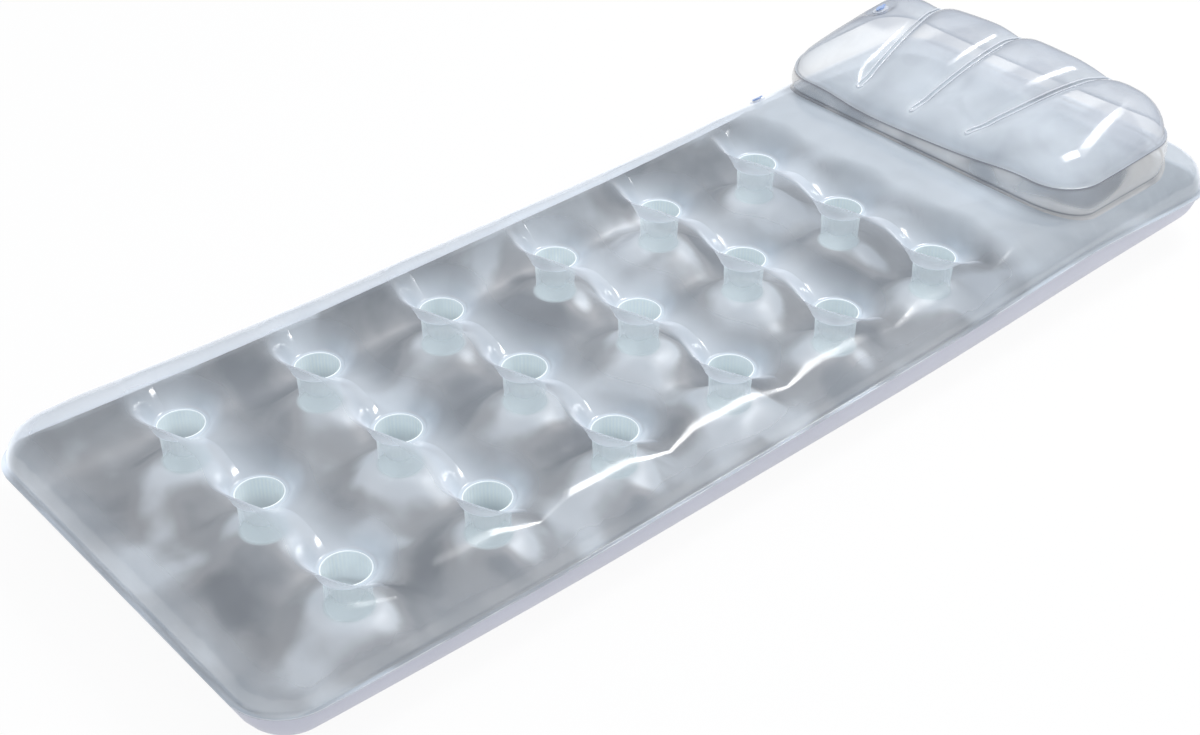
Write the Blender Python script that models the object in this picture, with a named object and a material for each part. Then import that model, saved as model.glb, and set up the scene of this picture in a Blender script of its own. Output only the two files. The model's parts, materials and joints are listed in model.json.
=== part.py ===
"""Inflatable pool lounge: a clear film mat with eighteen pockets and a pillow on its head end.

The mat is two films welded round their edge: a clear top sheet and a silver bottom sheet.
Eighteen pleated tubes hold the sheets together, and each tube is the wall of a pocket whose
floor is the bottom sheet.  The pillow is a lobed film on an upright band, held down by three
ties, and it shares the mat's top sheet as its base.  The mat and the pillow each have a valve
with a stem that pushes in flush, a plug on a strap and a check flap.

Units are metres, X is across the mat, Y runs along it to the head end, and Z is up from the
ground under the middle of the mat.
"""
import math

import bmesh
import bpy
from mathutils import Matrix, Vector
from mathutils.geometry import delaunay_2d_cdt

# Film
FILM = 0.0003
CLEARANCE = 0.0003

# Plan of the mat
ROW_COUNT = 6
COLUMN_COUNT = 3
ROW_PITCH = 0.209
COLUMN_PITCH = 0.183
FOOT_MARGIN = 0.209
SIDE_MARGIN = 0.146
SHOULDER_LENGTH = 0.155
PILLOW_DEPTH = 0.288
HEAD_MARGIN = 0.085
CORNER_RADIUS = 0.075
SEAM_WIDTH = 0.007

# Heights of the mat
CROWN_HEIGHT = 0.139
FOOT_SEAM_HEIGHT = 0.063
SHOULDER_SEAM_HEIGHT = 0.086
HEAD_SEAM_HEIGHT = 0.058
TOP_EDGE_ROLL = 0.100
BOTTOM_EDGE_ROLL = 0.052
HEAD_LIFT = 0.030
FOOT_LIFT = 0.017
LIFT_POWER = 1.5
FLAT_FIRST_ROW = 2.5
FLAT_LAST_ROW = 5

# Pockets
RING_RADIUS = 0.031
RING_HEIGHT = 0.096
FLOOR_RADIUS = 0.029
FLOOR_HEIGHT = 0.030
WELD_WIDTH = 0.005
TUBE_WAIST_RADIUS = 0.0285
PLEAT_DEPTH = 0.0012
TOP_FUNNEL_REACH = 0.060
BOTTOM_FUNNEL_REACH = 0.035
VALLEY_HALF_WIDTH = 0.058
VALLEY_REACH = 0.085
VALLEY_DEPTH_SHARE = 0.42
FUNNEL_POWER = 2.2

# Pillow
PILLOW_INSET = 0.0345
PILLOW_CORNER_RADIUS = 0.072
PILLOW_BAND_HEIGHT = 0.0275
PILLOW_END_RISE = 0.007
PILLOW_BAND_BULGE = 0.004
PILLOW_FOOT_WIDTH = 0.006
PILLOW_LIP_WIDTH = 0.005
PILLOW_RISE = 0.090
PILLOW_EDGE_ROLL = 0.070
PILLOW_FRONT_RISE_SHARE = 0.50
PILLOW_CROSS_FALL_SHARE = 0.40
TIE_DIP = 0.028
TIE_GROOVE_HALF_WIDTH = 0.052
TIE_TIP_SPACING = 0.110
TIE_BACK_SPACING = 0.169
TIE_TIP_OFFSET = -0.025
TIE_BACK_OFFSET = -0.005
TIE_TIP_SETBACK = 0.023
TIE_BACK_SETBACK = 0.030
TIE_COUNT = 3

# Valves, measured from the film's outer face
VALVE_HOLE_RADIUS = 0.0082
VALVE_PAD_RADIUS = 0.0155
VALVE_PAD_BLEND = 0.018
VALVE_FLANGE_RADIUS = 0.0135
VALVE_FLANGE_THICKNESS = 0.0009
COLLAR_WALL = 0.0012
COLLAR_DEPTH = 0.0115
COLLAR_RISE = 0.0006
STEM_RADIUS = 0.0062
STEM_BORE_RADIUS = 0.0045
STEM_LENGTH = 0.0150
STEM_RIM_RADIUS = 0.0074
STEM_RIM_THICKNESS = 0.0009
STRAP_WIDTH = 0.0040
STRAP_LUG_LENGTH = 0.0026
HINGE_DISTANCE = 0.0095
CAP_RADIUS = 0.0062
CAP_THICKNESS = 0.0012
PLUG_TOP_RADIUS = 0.0042
PLUG_TIP_RADIUS = 0.0029
PLUG_LENGTH = 0.0040
TAB_LENGTH = 0.0034
TAB_WIDTH = 0.0050
FLAP_RADIUS = 0.0050
FLAP_THICKNESS = 0.0005

# Places of the valves
MAT_VALVE_FROM_SEAM = 0.033
MAT_VALVE_FROM_PILLOW = 0.041
PILLOW_VALVE_FROM_END = 0.056
PILLOW_VALVE_FROM_BACK = 0.105

# Steps of the meshes
RING_STEPS = 12
FUNNEL_STEP_SHARES = (0.20, 0.55)
EDGE_STEP_SHARES = (0.09, 0.32, 0.66)
CORNER_STEPS = 5
EDGE_SPACING = 0.0045
GRID_STEPS_PER_PITCH = 4
PILLOW_SIDE_STEP = 0.061
PILLOW_CORNER_STEPS = 4
PILLOW_GRID_STEP = 0.052
TIE_STEPS = 6
LOBE_STEP_SHARES = (-0.8, -0.25, 0.25, 0.8)
VALVE_STEPS = 16
SLOPE_STEP = 0.001
MESH_EPSILON = 0.000001

# Worked out from the sizes above
WIDTH = (COLUMN_COUNT - 1) * COLUMN_PITCH + 2 * SIDE_MARGIN
POCKET_ROWS_LENGTH = (ROW_COUNT - 1) * ROW_PITCH
LENGTH = FOOT_MARGIN + POCKET_ROWS_LENGTH + SHOULDER_LENGTH + PILLOW_DEPTH + HEAD_MARGIN
FIRST_ROW_Y = FOOT_MARGIN - LENGTH / 2
LAST_ROW_Y = FIRST_ROW_Y + POCKET_ROWS_LENGTH
FLAT_START_Y = FIRST_ROW_Y + (FLAT_FIRST_ROW - 1) * ROW_PITCH
FLAT_END_Y = FIRST_ROW_Y + (FLAT_LAST_ROW - 1) * ROW_PITCH
OUTER_COLUMN_X = (COLUMN_COUNT - 1) / 2 * COLUMN_PITCH
PILLOW_HALF_X = WIDTH / 2 - PILLOW_INSET
PILLOW_HALF_Y = PILLOW_DEPTH / 2
PILLOW_Y = LENGTH / 2 - HEAD_MARGIN - PILLOW_HALF_Y
PILLOW_FRONT_Y = PILLOW_Y - PILLOW_HALF_Y
PILLOW_BACK_Y = PILLOW_Y + PILLOW_HALF_Y
LAND_RADIUS = RING_RADIUS + WELD_WIDTH
FLOOR_LAND_RADIUS = FLOOR_RADIUS + WELD_WIDTH


def clear_scene():
    for item in list(bpy.data.objects):
        bpy.data.objects.remove(item, do_unlink=True)


def make_material(name, color, roughness, metallic=0.0, alpha=1.0):
    material = bpy.data.materials.new(name)
    material.use_nodes = True
    shader = material.node_tree.nodes["Principled BSDF"]
    shader.inputs["Base Color"].default_value = (*color, 1.0)
    shader.inputs["Roughness"].default_value = roughness
    shader.inputs["Metallic"].default_value = metallic
    shader.inputs["Alpha"].default_value = alpha
    material.diffuse_color = (*color, alpha)
    return material


def add_object(name, mesh, material):
    """Put a mesh into the scene as a smooth-shaded object."""
    mesh.materials.append(material)
    mesh.shade_smooth()
    item = bpy.data.objects.new(name, mesh)
    bpy.context.scene.collection.objects.link(item)
    return item


def add_film_thickness(item, side):
    """Give a surface the film's thickness: side is 1 along its normals, -1 against, 0 both."""
    modifier = item.modifiers.new("film", "SOLIDIFY")
    modifier.thickness = FILM
    modifier.offset = side
    modifier.use_even_offset = False


# Shape of the mat

def ease(value):
    """Smooth step from 0 to 1."""
    value = min(max(value, 0.0), 1.0)
    return value * value * (3 - 2 * value)


def rounded_inset(x, y, half_x, half_y, radius):
    """Distance inwards from a rectangle with rounded corners, negative outside it."""
    over_x = abs(x) - (half_x - radius)
    over_y = abs(y) - (half_y - radius)
    outside = math.hypot(max(over_x, 0.0), max(over_y, 0.0))
    inside = min(max(over_x, over_y), 0.0)
    return radius - outside - inside


def quarter_arch(distance, roll):
    """Quarter circle from 0 at the edge to 1 at the roll's width and beyond."""
    share = min(max(distance / roll, 0.0), 1.0)
    return math.sqrt(1 - (1 - share) ** 2)


def end_lift(y):
    """How far the mat curls up off the ground towards its ends, from a flat middle."""
    head = max(y - FLAT_END_Y, 0.0) / (LENGTH / 2 - FLAT_END_Y)
    foot = max(FLAT_START_Y - y, 0.0) / (LENGTH / 2 + FLAT_START_Y)
    return HEAD_LIFT * head ** LIFT_POWER + FOOT_LIFT * foot ** LIFT_POWER


def seam_height(y):
    """The seam rises from the foot to the front of the pillow and sinks again to the head."""
    if y < PILLOW_FRONT_Y:
        share = max(y + LENGTH / 2, 0.0) / (PILLOW_FRONT_Y + LENGTH / 2)
        return FOOT_SEAM_HEIGHT + share * (SHOULDER_SEAM_HEIGHT - FOOT_SEAM_HEIGHT)
    share = ease((y - PILLOW_FRONT_Y) / (LENGTH / 2 - PILLOW_FRONT_Y))
    return SHOULDER_SEAM_HEIGHT + share * (HEAD_SEAM_HEIGHT - SHOULDER_SEAM_HEIGHT)


def pocket_centres():
    """Names and centres of the pockets, row by row from the foot."""
    centres = []
    for row in range(ROW_COUNT):
        for column in range(COLUMN_COUNT):
            number = row * COLUMN_COUNT + column + 1
            x = column * COLUMN_PITCH - OUTER_COLUMN_X
            centres.append((f"pocket_tube_{number:02d}", x, FIRST_ROW_Y + row * ROW_PITCH))
    return centres


POCKETS = pocket_centres()


def nearest_pocket(x, y):
    """Distance to the nearest pocket's centre."""
    return min(math.hypot(x - px, y - py) for _, px, py in POCKETS)


def nearest_row_y(y):
    """Lengthwise place of the nearest row of pockets."""
    row = min(max(round((y - FIRST_ROW_Y) / ROW_PITCH), 0), ROW_COUNT - 1)
    return FIRST_ROW_Y + row * ROW_PITCH


def funnel_pull(x, y, land, reach):
    """Pull of the pockets on a sheet: 1 on a pocket's weld, 0 beyond its funnel's reach."""
    free = 1.0
    for _, px, py in POCKETS:
        share = (math.hypot(x - px, y - py) - land) / reach
        if share < 1:
            free *= 1 - (1 - max(share, 0.0)) ** FUNNEL_POWER
    return 1 - free


def valley_pull(x, y):
    """Pull of the shallow valley that joins the pockets of a row."""
    across = abs(y - nearest_row_y(y)) / VALLEY_HALF_WIDTH
    along = 1 - ease((abs(x) - OUTER_COLUMN_X) / VALLEY_REACH)
    return VALLEY_DEPTH_SHARE * along * (1 - min(across, 1.0) ** 2) ** 2


def mat_inset(x, y):
    return rounded_inset(x, y, WIDTH / 2, LENGTH / 2, CORNER_RADIUS)


def top_height(x, y):
    """Outer face of the top sheet, without the flat pad of its valve."""
    seam = seam_height(y)
    arch = quarter_arch(mat_inset(x, y) - SEAM_WIDTH, TOP_EDGE_ROLL)
    valley = valley_pull(x, y) * (CROWN_HEIGHT - RING_HEIGHT)
    crowned = seam + (CROWN_HEIGHT - seam - valley) * arch + end_lift(y) + FILM + CLEARANCE
    ring = RING_HEIGHT + end_lift(nearest_row_y(y))
    return crowned + (ring - crowned) * funnel_pull(x, y, LAND_RADIUS, TOP_FUNNEL_REACH)


def bottom_height(x, y):
    """Outer face of the bottom sheet: flat on the ground, raised at the pockets' floors."""
    arch = quarter_arch(mat_inset(x, y) - SEAM_WIDTH, BOTTOM_EDGE_ROLL)
    crowned = (seam_height(y) - FILM) * (1 - arch) + end_lift(y)
    floor = FLOOR_HEIGHT + end_lift(nearest_row_y(y)) - FILM
    return crowned + (floor - crowned) * funnel_pull(x, y, FLOOR_LAND_RADIUS, BOTTOM_FUNNEL_REACH)


# Shape of the pillow

def pillow_edge_height(x, y):
    """Top edge of the band, a little higher at the pillow's two ends."""
    return CROWN_HEIGHT + PILLOW_BAND_HEIGHT + end_lift(y) + PILLOW_END_RISE * (x / PILLOW_HALF_X) ** 2


def tie_lines():
    """Ends of the ties in plan: each runs from its tip near the front to the back."""
    lines = []
    for number in range(TIE_COUNT):
        place = number - (TIE_COUNT - 1) / 2
        tip_x = place * TIE_TIP_SPACING + TIE_TIP_OFFSET
        back_x = place * TIE_BACK_SPACING + TIE_BACK_OFFSET
        tip = Vector((tip_x, PILLOW_FRONT_Y + TIE_TIP_SETBACK))
        lines.append((tip, Vector((back_x, PILLOW_BACK_Y - TIE_BACK_SETBACK))))
    return lines


TIES = tie_lines()


def distance_to_line(x, y, start, end):
    """Distance in plan from a point to a straight stretch."""
    point = Vector((x, y))
    run = end - start
    share = min(max((point - start).dot(run) / run.length_squared, 0.0), 1.0)
    return (point - start - run * share).length


def pillow_inset(x, y):
    return rounded_inset(x, y - PILLOW_Y, PILLOW_HALF_X, PILLOW_HALF_Y, PILLOW_CORNER_RADIUS)


def pillow_height(x, y):
    """Inner face of the pillow's top film, without the flat pad of its valve."""
    inset = pillow_inset(x, y) - PILLOW_LIP_WIDTH
    back_share = ease((y - PILLOW_FRONT_Y) / PILLOW_DEPTH)
    rise_share = PILLOW_FRONT_RISE_SHARE + (1 - PILLOW_FRONT_RISE_SHARE) * back_share
    rise_share *= 1 - PILLOW_CROSS_FALL_SHARE * (x / PILLOW_HALF_X) ** 2
    rise = PILLOW_RISE * rise_share * quarter_arch(inset, PILLOW_EDGE_ROLL)
    near = min(distance_to_line(x, y, *line) for line in TIES)
    dip = TIE_DIP * (1 - quarter_arch(near, TIE_GROOVE_HALF_WIDTH))
    dip *= ease(inset / TIE_GROOVE_HALF_WIDTH)
    return pillow_edge_height(x, y) + FILM + CLEARANCE + rise - dip


# Places of the valves

def valve_frame(x, y, height):
    """Matrix whose origin is on a surface, Z its outward normal and X level along the edge."""
    slope_x = (height(x + SLOPE_STEP, y) - height(x - SLOPE_STEP, y)) / (2 * SLOPE_STEP)
    slope_y = (height(x, y + SLOPE_STEP) - height(x, y - SLOPE_STEP)) / (2 * SLOPE_STEP)
    normal = Vector((-slope_x, -slope_y, 1)).normalized()
    along = Vector((0, 1, 0)).cross(normal).cross(normal).normalized() * -1
    across = normal.cross(along)
    frame = Matrix((along, across, normal)).transposed().to_4x4()
    frame.translation = Vector((x, y, height(x, y)))
    return frame


MAT_VALVE = valve_frame(
    MAT_VALVE_FROM_SEAM - WIDTH / 2, PILLOW_FRONT_Y - MAT_VALVE_FROM_PILLOW, top_height
)
PILLOW_VALVE = valve_frame(
    PILLOW_VALVE_FROM_END - PILLOW_HALF_X, PILLOW_BACK_Y - PILLOW_VALVE_FROM_BACK, pillow_height
)


def with_pad(height, frame):
    """Surface with a flat round pad where a valve is welded in, eased into its surroundings."""
    centre = frame.translation
    normal = frame.to_3x3() @ Vector((0, 0, 1))

    def padded(x, y):
        free = height(x, y)
        plane = centre.z - ((x - centre.x) * normal.x + (y - centre.y) * normal.y) / normal.z
        reach = (Vector((x, y, free)) - centre).length - VALVE_PAD_RADIUS
        return plane + (free - plane) * ease(reach / VALVE_PAD_BLEND)

    return padded


def valve_ring(frame, radius):
    """Plan points of a circle that lies on a valve's pad."""
    ring = []
    for step in range(VALVE_STEPS):
        angle = 2 * math.pi * step / VALVE_STEPS
        point = frame @ Vector((radius * math.cos(angle), radius * math.sin(angle), 0))
        ring.append((point.x, point.y))
    return ring


# Meshes of the films

def circle(x, y, radius, steps):
    angles = [2 * math.pi * step / steps for step in range(steps)]
    return [(x + radius * math.cos(a), y + radius * math.sin(a)) for a in angles]


def rounded_loop(half_x, half_y, radius, corner_steps, stations_x, stations_y):
    """Plan points and outward normals round a rectangle with arcs for corners."""
    loop = []
    corners = ((1, -1, -90), (1, 1, 0), (-1, 1, 90), (-1, -1, 180))
    for sign_x, sign_y, start in corners:
        for step in range(corner_steps + 1):
            angle = math.radians(start + 90 * step / corner_steps)
            normal = Vector((math.cos(angle), math.sin(angle)))
            centre = Vector((sign_x * (half_x - radius), sign_y * (half_y - radius)))
            loop.append((centre + normal * radius, normal))
        sideways = start in (0, 180)
        stations = stations_x if sideways else stations_y
        half = half_x - radius if sideways else half_y - radius
        corner, normal = loop[-1]
        along = Vector((-normal.y, normal.x))
        turn = round(along.x + along.y)
        for place in sorted(station * turn for station in stations):
            if abs(place) < half - radius / corner_steps:
                loop.append((corner + along * (half + place), normal))
    return loop


class Plan:
    """Points in plan, the loops and lines that the triangles have to follow, and the holes."""

    def __init__(self):
        self.points = []
        self.edges = []
        self.holes = []

    def add_point(self, x, y):
        self.points.append(Vector((x, y)))
        return len(self.points) - 1

    def add_line(self, places, closed=False):
        indices = [self.add_point(x, y) for x, y in places]
        self.edges += list(zip(indices, indices[1:]))
        if closed:
            self.edges.append((indices[-1], indices[0]))
        return indices

    def add_strip(self, outer, inner):
        """Two closed loops with the same count, tied by diagonals."""
        first = self.add_line(outer, closed=True)
        second = self.add_line(inner, closed=True)
        self.edges += list(zip(second, first[1:] + first[:1]))

    def add_open_runs(self, places, allowed, joined):
        """The stretches of a closed loop whose points and edges are allowed."""
        indices = [self.add_point(x, y) if allowed(x, y) else None for x, y in places]
        ends = list(zip(indices, places))
        for (near, start), (far, end) in zip(ends, ends[1:] + ends[:1]):
            if near is not None and far is not None and joined(start, end):
                self.edges.append((near, far))

    def build(self, name, height):
        """Triangulate the plan, leave the holes open and lift each point to its height."""
        places, _, faces, *_ = delaunay_2d_cdt(
            self.points, self.edges, [], 0, MESH_EPSILON, False
        )
        mesh = bpy.data.meshes.new(name)
        kept = []
        for face in faces:
            middle = sum((places[i] for i in face), Vector((0, 0))) / len(face)
            if not any(hole(middle.x, middle.y) for hole in self.holes):
                kept.append(face)
        mesh.from_pydata([(p.x, p.y, height(p.x, p.y)) for p in places], [], kept)
        shape = bmesh.new()
        shape.from_mesh(mesh)
        loose = [vert for vert in shape.verts if not vert.link_faces]
        bmesh.ops.delete(shape, geom=loose, context="VERTS")
        shape.to_mesh(mesh)
        shape.free()
        return mesh


def round_hole(x, y, radius):
    return lambda px, py: math.hypot(px - x, py - y) < radius


def valve_hole(frame):
    """Round hole on a valve's pad, tested in plan."""
    normal = frame.to_3x3() @ Vector((0, 0, 1))

    def inside(x, y):
        aside = Vector((x, y)) - frame.translation.xy
        rise = -aside.dot(normal.xy) / normal.z
        return math.hypot(aside.length, rise) < VALVE_HOLE_RADIUS

    return inside


def spaced(pitch, half_length):
    """Places at a pitch to both sides of a middle."""
    count = math.ceil(half_length / pitch)
    return [step * pitch for step in range(-count, count + 1)]


def pillow_loop(inset):
    """Plan points and outward normals round the pillow, a distance inside its wall."""
    loop = rounded_loop(
        PILLOW_HALF_X - inset, PILLOW_HALF_Y - inset, PILLOW_CORNER_RADIUS - inset,
        PILLOW_CORNER_STEPS, spaced(PILLOW_SIDE_STEP, PILLOW_HALF_X),
        spaced(PILLOW_SIDE_STEP, PILLOW_HALF_Y),
    )
    return [(place + Vector((0, PILLOW_Y)), normal) for place, normal in loop]


def mat_loop(inset):
    """Plan points round the mat, a distance inside its edge."""
    loop = rounded_loop(
        WIDTH / 2 - inset, LENGTH / 2 - inset, CORNER_RADIUS - inset, CORNER_STEPS,
        spaced(COLUMN_PITCH / 2, WIDTH / 2),
        [LAST_ROW_Y + place for place in spaced(ROW_PITCH / 2, LENGTH)],
    )
    return [tuple(place) for place, _ in loop]


def pillow_base_loops():
    """Plan points where the band's foot meets the mat: outer edge of the foot, then the wall."""
    loop = pillow_loop(0)
    wall = [tuple(place) for place, _ in loop]
    foot = [tuple(place + normal * PILLOW_FOOT_WIDTH) for place, normal in loop]
    return foot, wall


def tie_stations(line):
    """Plan points along a tie."""
    start, end = line
    return [tuple(start.lerp(end, step / TIE_STEPS)) for step in range(TIE_STEPS + 1)]


def near_loop(x, y, loop, reach):
    return any(math.hypot(x - px, y - py) < reach for px, py in loop)


def mat_plan(land, reach, roll, keep_out):
    """Plan of a sheet of the mat: seam, edge roll, rings round the pockets and a grid."""
    plan = Plan()
    plan.add_line(mat_loop(0), closed=True)
    funnel_edge = land + reach * FUNNEL_STEP_SHARES[-1]
    spacing = COLUMN_PITCH / GRID_STEPS_PER_PITCH

    def allowed(x, y):
        return not keep_out(x, y, EDGE_SPACING)

    def joined(start, end):
        return (pillow_inset(*start) > 0) == (pillow_inset(*end) > 0)

    insets = [SEAM_WIDTH] + [SEAM_WIDTH + roll * share for share in EDGE_STEP_SHARES]
    for inset in insets:
        plan.add_open_runs(mat_loop(inset), allowed, joined)
    for _, x, y in POCKETS:
        for share in FUNNEL_STEP_SHARES:
            for place in circle(x, y, land + reach * share, RING_STEPS):
                plan.add_point(*place)
    for along in spaced(ROW_PITCH / GRID_STEPS_PER_PITCH, LENGTH):
        for x in spaced(spacing, WIDTH / 2):
            y = LAST_ROW_Y + along
            inside = mat_inset(x, y) > insets[-1] + spacing / 2
            clear = nearest_pocket(x, y) > funnel_edge + spacing / 4
            bare = pillow_inset(x, y) < 0
            if inside and clear and bare and not keep_out(x, y, spacing / 3):
                plan.add_point(x, y)
    return plan


def make_top_sheet(material):
    """Clear sheet with a round hole over each pocket and one for the valve."""
    foot, wall = pillow_base_loops()
    stations = [tie_stations(line) for line in TIES]
    valve_rings = [valve_ring(MAT_VALVE, r) for r in (VALVE_HOLE_RADIUS, VALVE_PAD_RADIUS)]
    centre = MAT_VALVE.translation
    around = circle(centre.x, centre.y, VALVE_PAD_RADIUS + VALVE_PAD_BLEND / 2, VALVE_STEPS)
    details = around + [place for line in stations + valve_rings for place in line]

    def keep_out(x, y, margin):
        from_foot = abs(pillow_inset(x, y) + PILLOW_FOOT_WIDTH / 2) - PILLOW_FOOT_WIDTH / 2
        return from_foot < margin or near_loop(x, y, details, margin)

    plan = mat_plan(LAND_RADIUS, TOP_FUNNEL_REACH, TOP_EDGE_ROLL, keep_out)
    for _, x, y in POCKETS:
        plan.add_line(circle(x, y, RING_RADIUS, RING_STEPS), closed=True)
        plan.add_line(circle(x, y, LAND_RADIUS, RING_STEPS), closed=True)
        plan.holes.append(round_hole(x, y, RING_RADIUS))
    plan.add_strip(foot, wall)
    for line in stations:
        plan.add_line(line)
    for ring in valve_rings:
        plan.add_line(ring, closed=True)
    plan.holes.append(valve_hole(MAT_VALVE))
    sheet = add_object("top_sheet", plan.build("top_sheet", TOP_SURFACE), material)
    add_film_thickness(sheet, -1)


def make_bottom_sheet(material):
    """Silver sheet without holes, raised into a flat floor under each pocket."""
    plan = mat_plan(
        FLOOR_LAND_RADIUS, BOTTOM_FUNNEL_REACH, BOTTOM_EDGE_ROLL, lambda x, y, margin: False
    )
    for _, x, y in POCKETS:
        plan.add_line(circle(x, y, FLOOR_LAND_RADIUS, RING_STEPS), closed=True)
    sheet = add_object("bottom_sheet", plan.build("bottom_sheet", bottom_height), material)
    add_film_thickness(sheet, 1)


# Pocket tubes

def lathe_mesh(name, profile, steps, closed, shape=None):
    """Turn a profile of (radius, height) round Z; a closed profile gives a solid ring."""
    mesh = bpy.data.meshes.new(name)
    body = bmesh.new()
    rings = []
    for index, (radius, height) in enumerate(profile):
        ring = []
        for step in range(steps):
            angle = 2 * math.pi * step / steps
            reach = radius + (shape(index, step) if shape else 0.0)
            ring.append(body.verts.new((reach * math.cos(angle), reach * math.sin(angle), height)))
        rings.append(ring)
    pairs = list(zip(rings, rings[1:] + rings[:1])) if closed else list(zip(rings, rings[1:]))
    for lower, upper in pairs:
        for step in range(steps):
            after = (step + 1) % steps
            body.faces.new((lower[step], lower[after], upper[after], upper[step]))
    if not closed and shape is None:
        for ring in (rings[0], rings[-1]):
            body.faces.new(ring)
    bmesh.ops.recalc_face_normals(body, faces=body.faces)
    body.to_mesh(mesh)
    body.free()
    return mesh


def make_pocket_tubes(material):
    """Pleated tube between the sheets at each pocket, with a weld flange at both ends."""
    upper = RING_HEIGHT - FILM - CLEARANCE - FILM / 2
    lower = FLOOR_HEIGHT + CLEARANCE + FILM / 2
    middle = (upper + lower) / 2
    profile = (
        (FLOOR_LAND_RADIUS, lower), (FLOOR_RADIUS, lower),
        (TUBE_WAIST_RADIUS, middle),
        (RING_RADIUS, upper), (LAND_RADIUS, upper),
    )
    waist = profile.index((TUBE_WAIST_RADIUS, middle))

    def pleats(index, step):
        return (PLEAT_DEPTH if step % 2 else -PLEAT_DEPTH) if index == waist else 0.0

    mesh = lathe_mesh("pocket_tube", profile, RING_STEPS, False, pleats)
    mesh.materials.append(material)
    mesh.shade_smooth()
    for name, x, y in POCKETS:
        tube = bpy.data.objects.new(name, mesh)
        tube.location = (x, y, end_lift(y))
        bpy.context.scene.collection.objects.link(tube)
        add_film_thickness(tube, 0)


# Pillow pieces

def make_pillow_band(material):
    """Upright band with a foot welded to the mat and a lip welded to the pillow's top film."""
    mesh = bpy.data.meshes.new("pillow_band")
    body = bmesh.new()
    columns = []
    for wall, normal in pillow_loop(0):
        foot = wall + normal * PILLOW_FOOT_WIDTH
        lip = wall - normal * PILLOW_LIP_WIDTH
        belly = wall + normal * PILLOW_BAND_BULGE
        base = TOP_SURFACE(*wall) + CLEARANCE
        edge = pillow_edge_height(*wall)
        places = (
            (*foot, TOP_SURFACE(*foot) + CLEARANCE), (*wall, base),
            (*belly, (base + edge) / 2), (*wall, edge), (*lip, pillow_edge_height(*lip)),
        )
        columns.append([body.verts.new(p) for p in places])
    for near, far in zip(columns, columns[1:] + columns[:1]):
        for a, b, c, d in zip(near, far, far[1:], near[1:]):
            body.faces.new((a, b, d))
            body.faces.new((b, c, d))
    body.to_mesh(mesh)
    body.free()
    add_film_thickness(add_object("pillow_band", mesh, material), 1)


def make_pillow_top(material):
    """Lobed film over the band, pulled down along the ties."""
    plan = Plan()
    plan.add_line([tuple(place) for place, _ in pillow_loop(0)], closed=True)
    valve_rings = [valve_ring(PILLOW_VALVE, r) for r in (VALVE_HOLE_RADIUS, VALVE_PAD_RADIUS)]
    pad = [place for ring in valve_rings for place in ring]
    for ring in valve_rings:
        plan.add_line(ring, closed=True)
    plan.holes.append(valve_hole(PILLOW_VALVE))
    lines = []
    for line in TIES:
        weld = tie_stations(line)
        plan.add_line(weld)
        lines += weld
        run = line[1] - line[0]
        aside = Vector((-run.y, run.x)).normalized() * TIE_GROOVE_HALF_WIDTH
        for share in LOBE_STEP_SHARES:
            beside = [tuple(Vector(place) + aside * share) for place in weld]
            if any(near_loop(x, y, pad, PILLOW_GRID_STEP / 3) for x, y in beside):
                continue
            plan.add_line(beside)
            lines += beside

    def allowed(x, y):
        return not near_loop(x, y, pad + lines, EDGE_SPACING * 2)

    insets = [PILLOW_LIP_WIDTH]
    insets += [PILLOW_LIP_WIDTH + PILLOW_EDGE_ROLL * share for share in EDGE_STEP_SHARES[:2]]
    for inset in insets:
        places = [tuple(place) for place, _ in pillow_loop(inset)]
        plan.add_open_runs(places, allowed, lambda start, end: inset == PILLOW_LIP_WIDTH)
    for x in spaced(PILLOW_GRID_STEP, PILLOW_HALF_X):
        for along in spaced(PILLOW_GRID_STEP, PILLOW_HALF_Y):
            y = PILLOW_Y + along
            clear = pillow_inset(x, y) > insets[-1] + PILLOW_GRID_STEP / 3
            if clear and not near_loop(x, y, lines + pad, PILLOW_GRID_STEP / 3):
                plan.add_point(x, y)
    sheet = add_object("pillow_top", plan.build("pillow_top", PILLOW_SURFACE), material)
    add_film_thickness(sheet, 1)


def make_pillow_ties(material):
    """Upright webs that hold the pillow's top film down to the mat's top sheet."""
    names = [f"pillow_tie_{number + 1}" for number in range(TIE_COUNT)]
    for name, line in zip(names, TIES):
        mesh = bpy.data.meshes.new(name)
        body = bmesh.new()
        columns = []
        for x, y in tie_stations(line):
            low = TOP_SURFACE(x, y) + CLEARANCE
            high = PILLOW_SURFACE(x, y) - CLEARANCE
            columns.append((body.verts.new((x, y, low)), body.verts.new((x, y, high))))
        for (a, d), (b, c) in zip(columns, columns[1:]):
            body.faces.new((a, b, c, d))
        body.to_mesh(mesh)
        body.free()
        add_film_thickness(add_object(name, mesh, material), 0)


# Valves

def join_solid(item, mesh):
    """Unite a hidden second solid with an object."""
    second = bpy.data.objects.new(mesh.name, mesh)
    bpy.context.scene.collection.objects.link(second)
    second.parent = item
    second.hide_render = True
    second.display_type = "WIRE"
    modifier = item.modifiers.new("join", "BOOLEAN")
    modifier.operation = "UNION"
    modifier.solver = "EXACT"
    modifier.object = second


def plate_mesh(name, outline, low, high):
    """Extrude a plan outline between two heights."""
    mesh = bpy.data.meshes.new(name)
    body = bmesh.new()
    face = body.faces.new([body.verts.new((x, y, low)) for x, y in outline])
    grown = bmesh.ops.extrude_face_region(body, geom=[face])["geom"]
    raised = [item for item in grown if isinstance(item, bmesh.types.BMVert)]
    bmesh.ops.translate(body, verts=raised, vec=(0, 0, high - low))
    bmesh.ops.recalc_face_normals(body, faces=body.faces)
    body.to_mesh(mesh)
    body.free()
    return mesh


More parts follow.
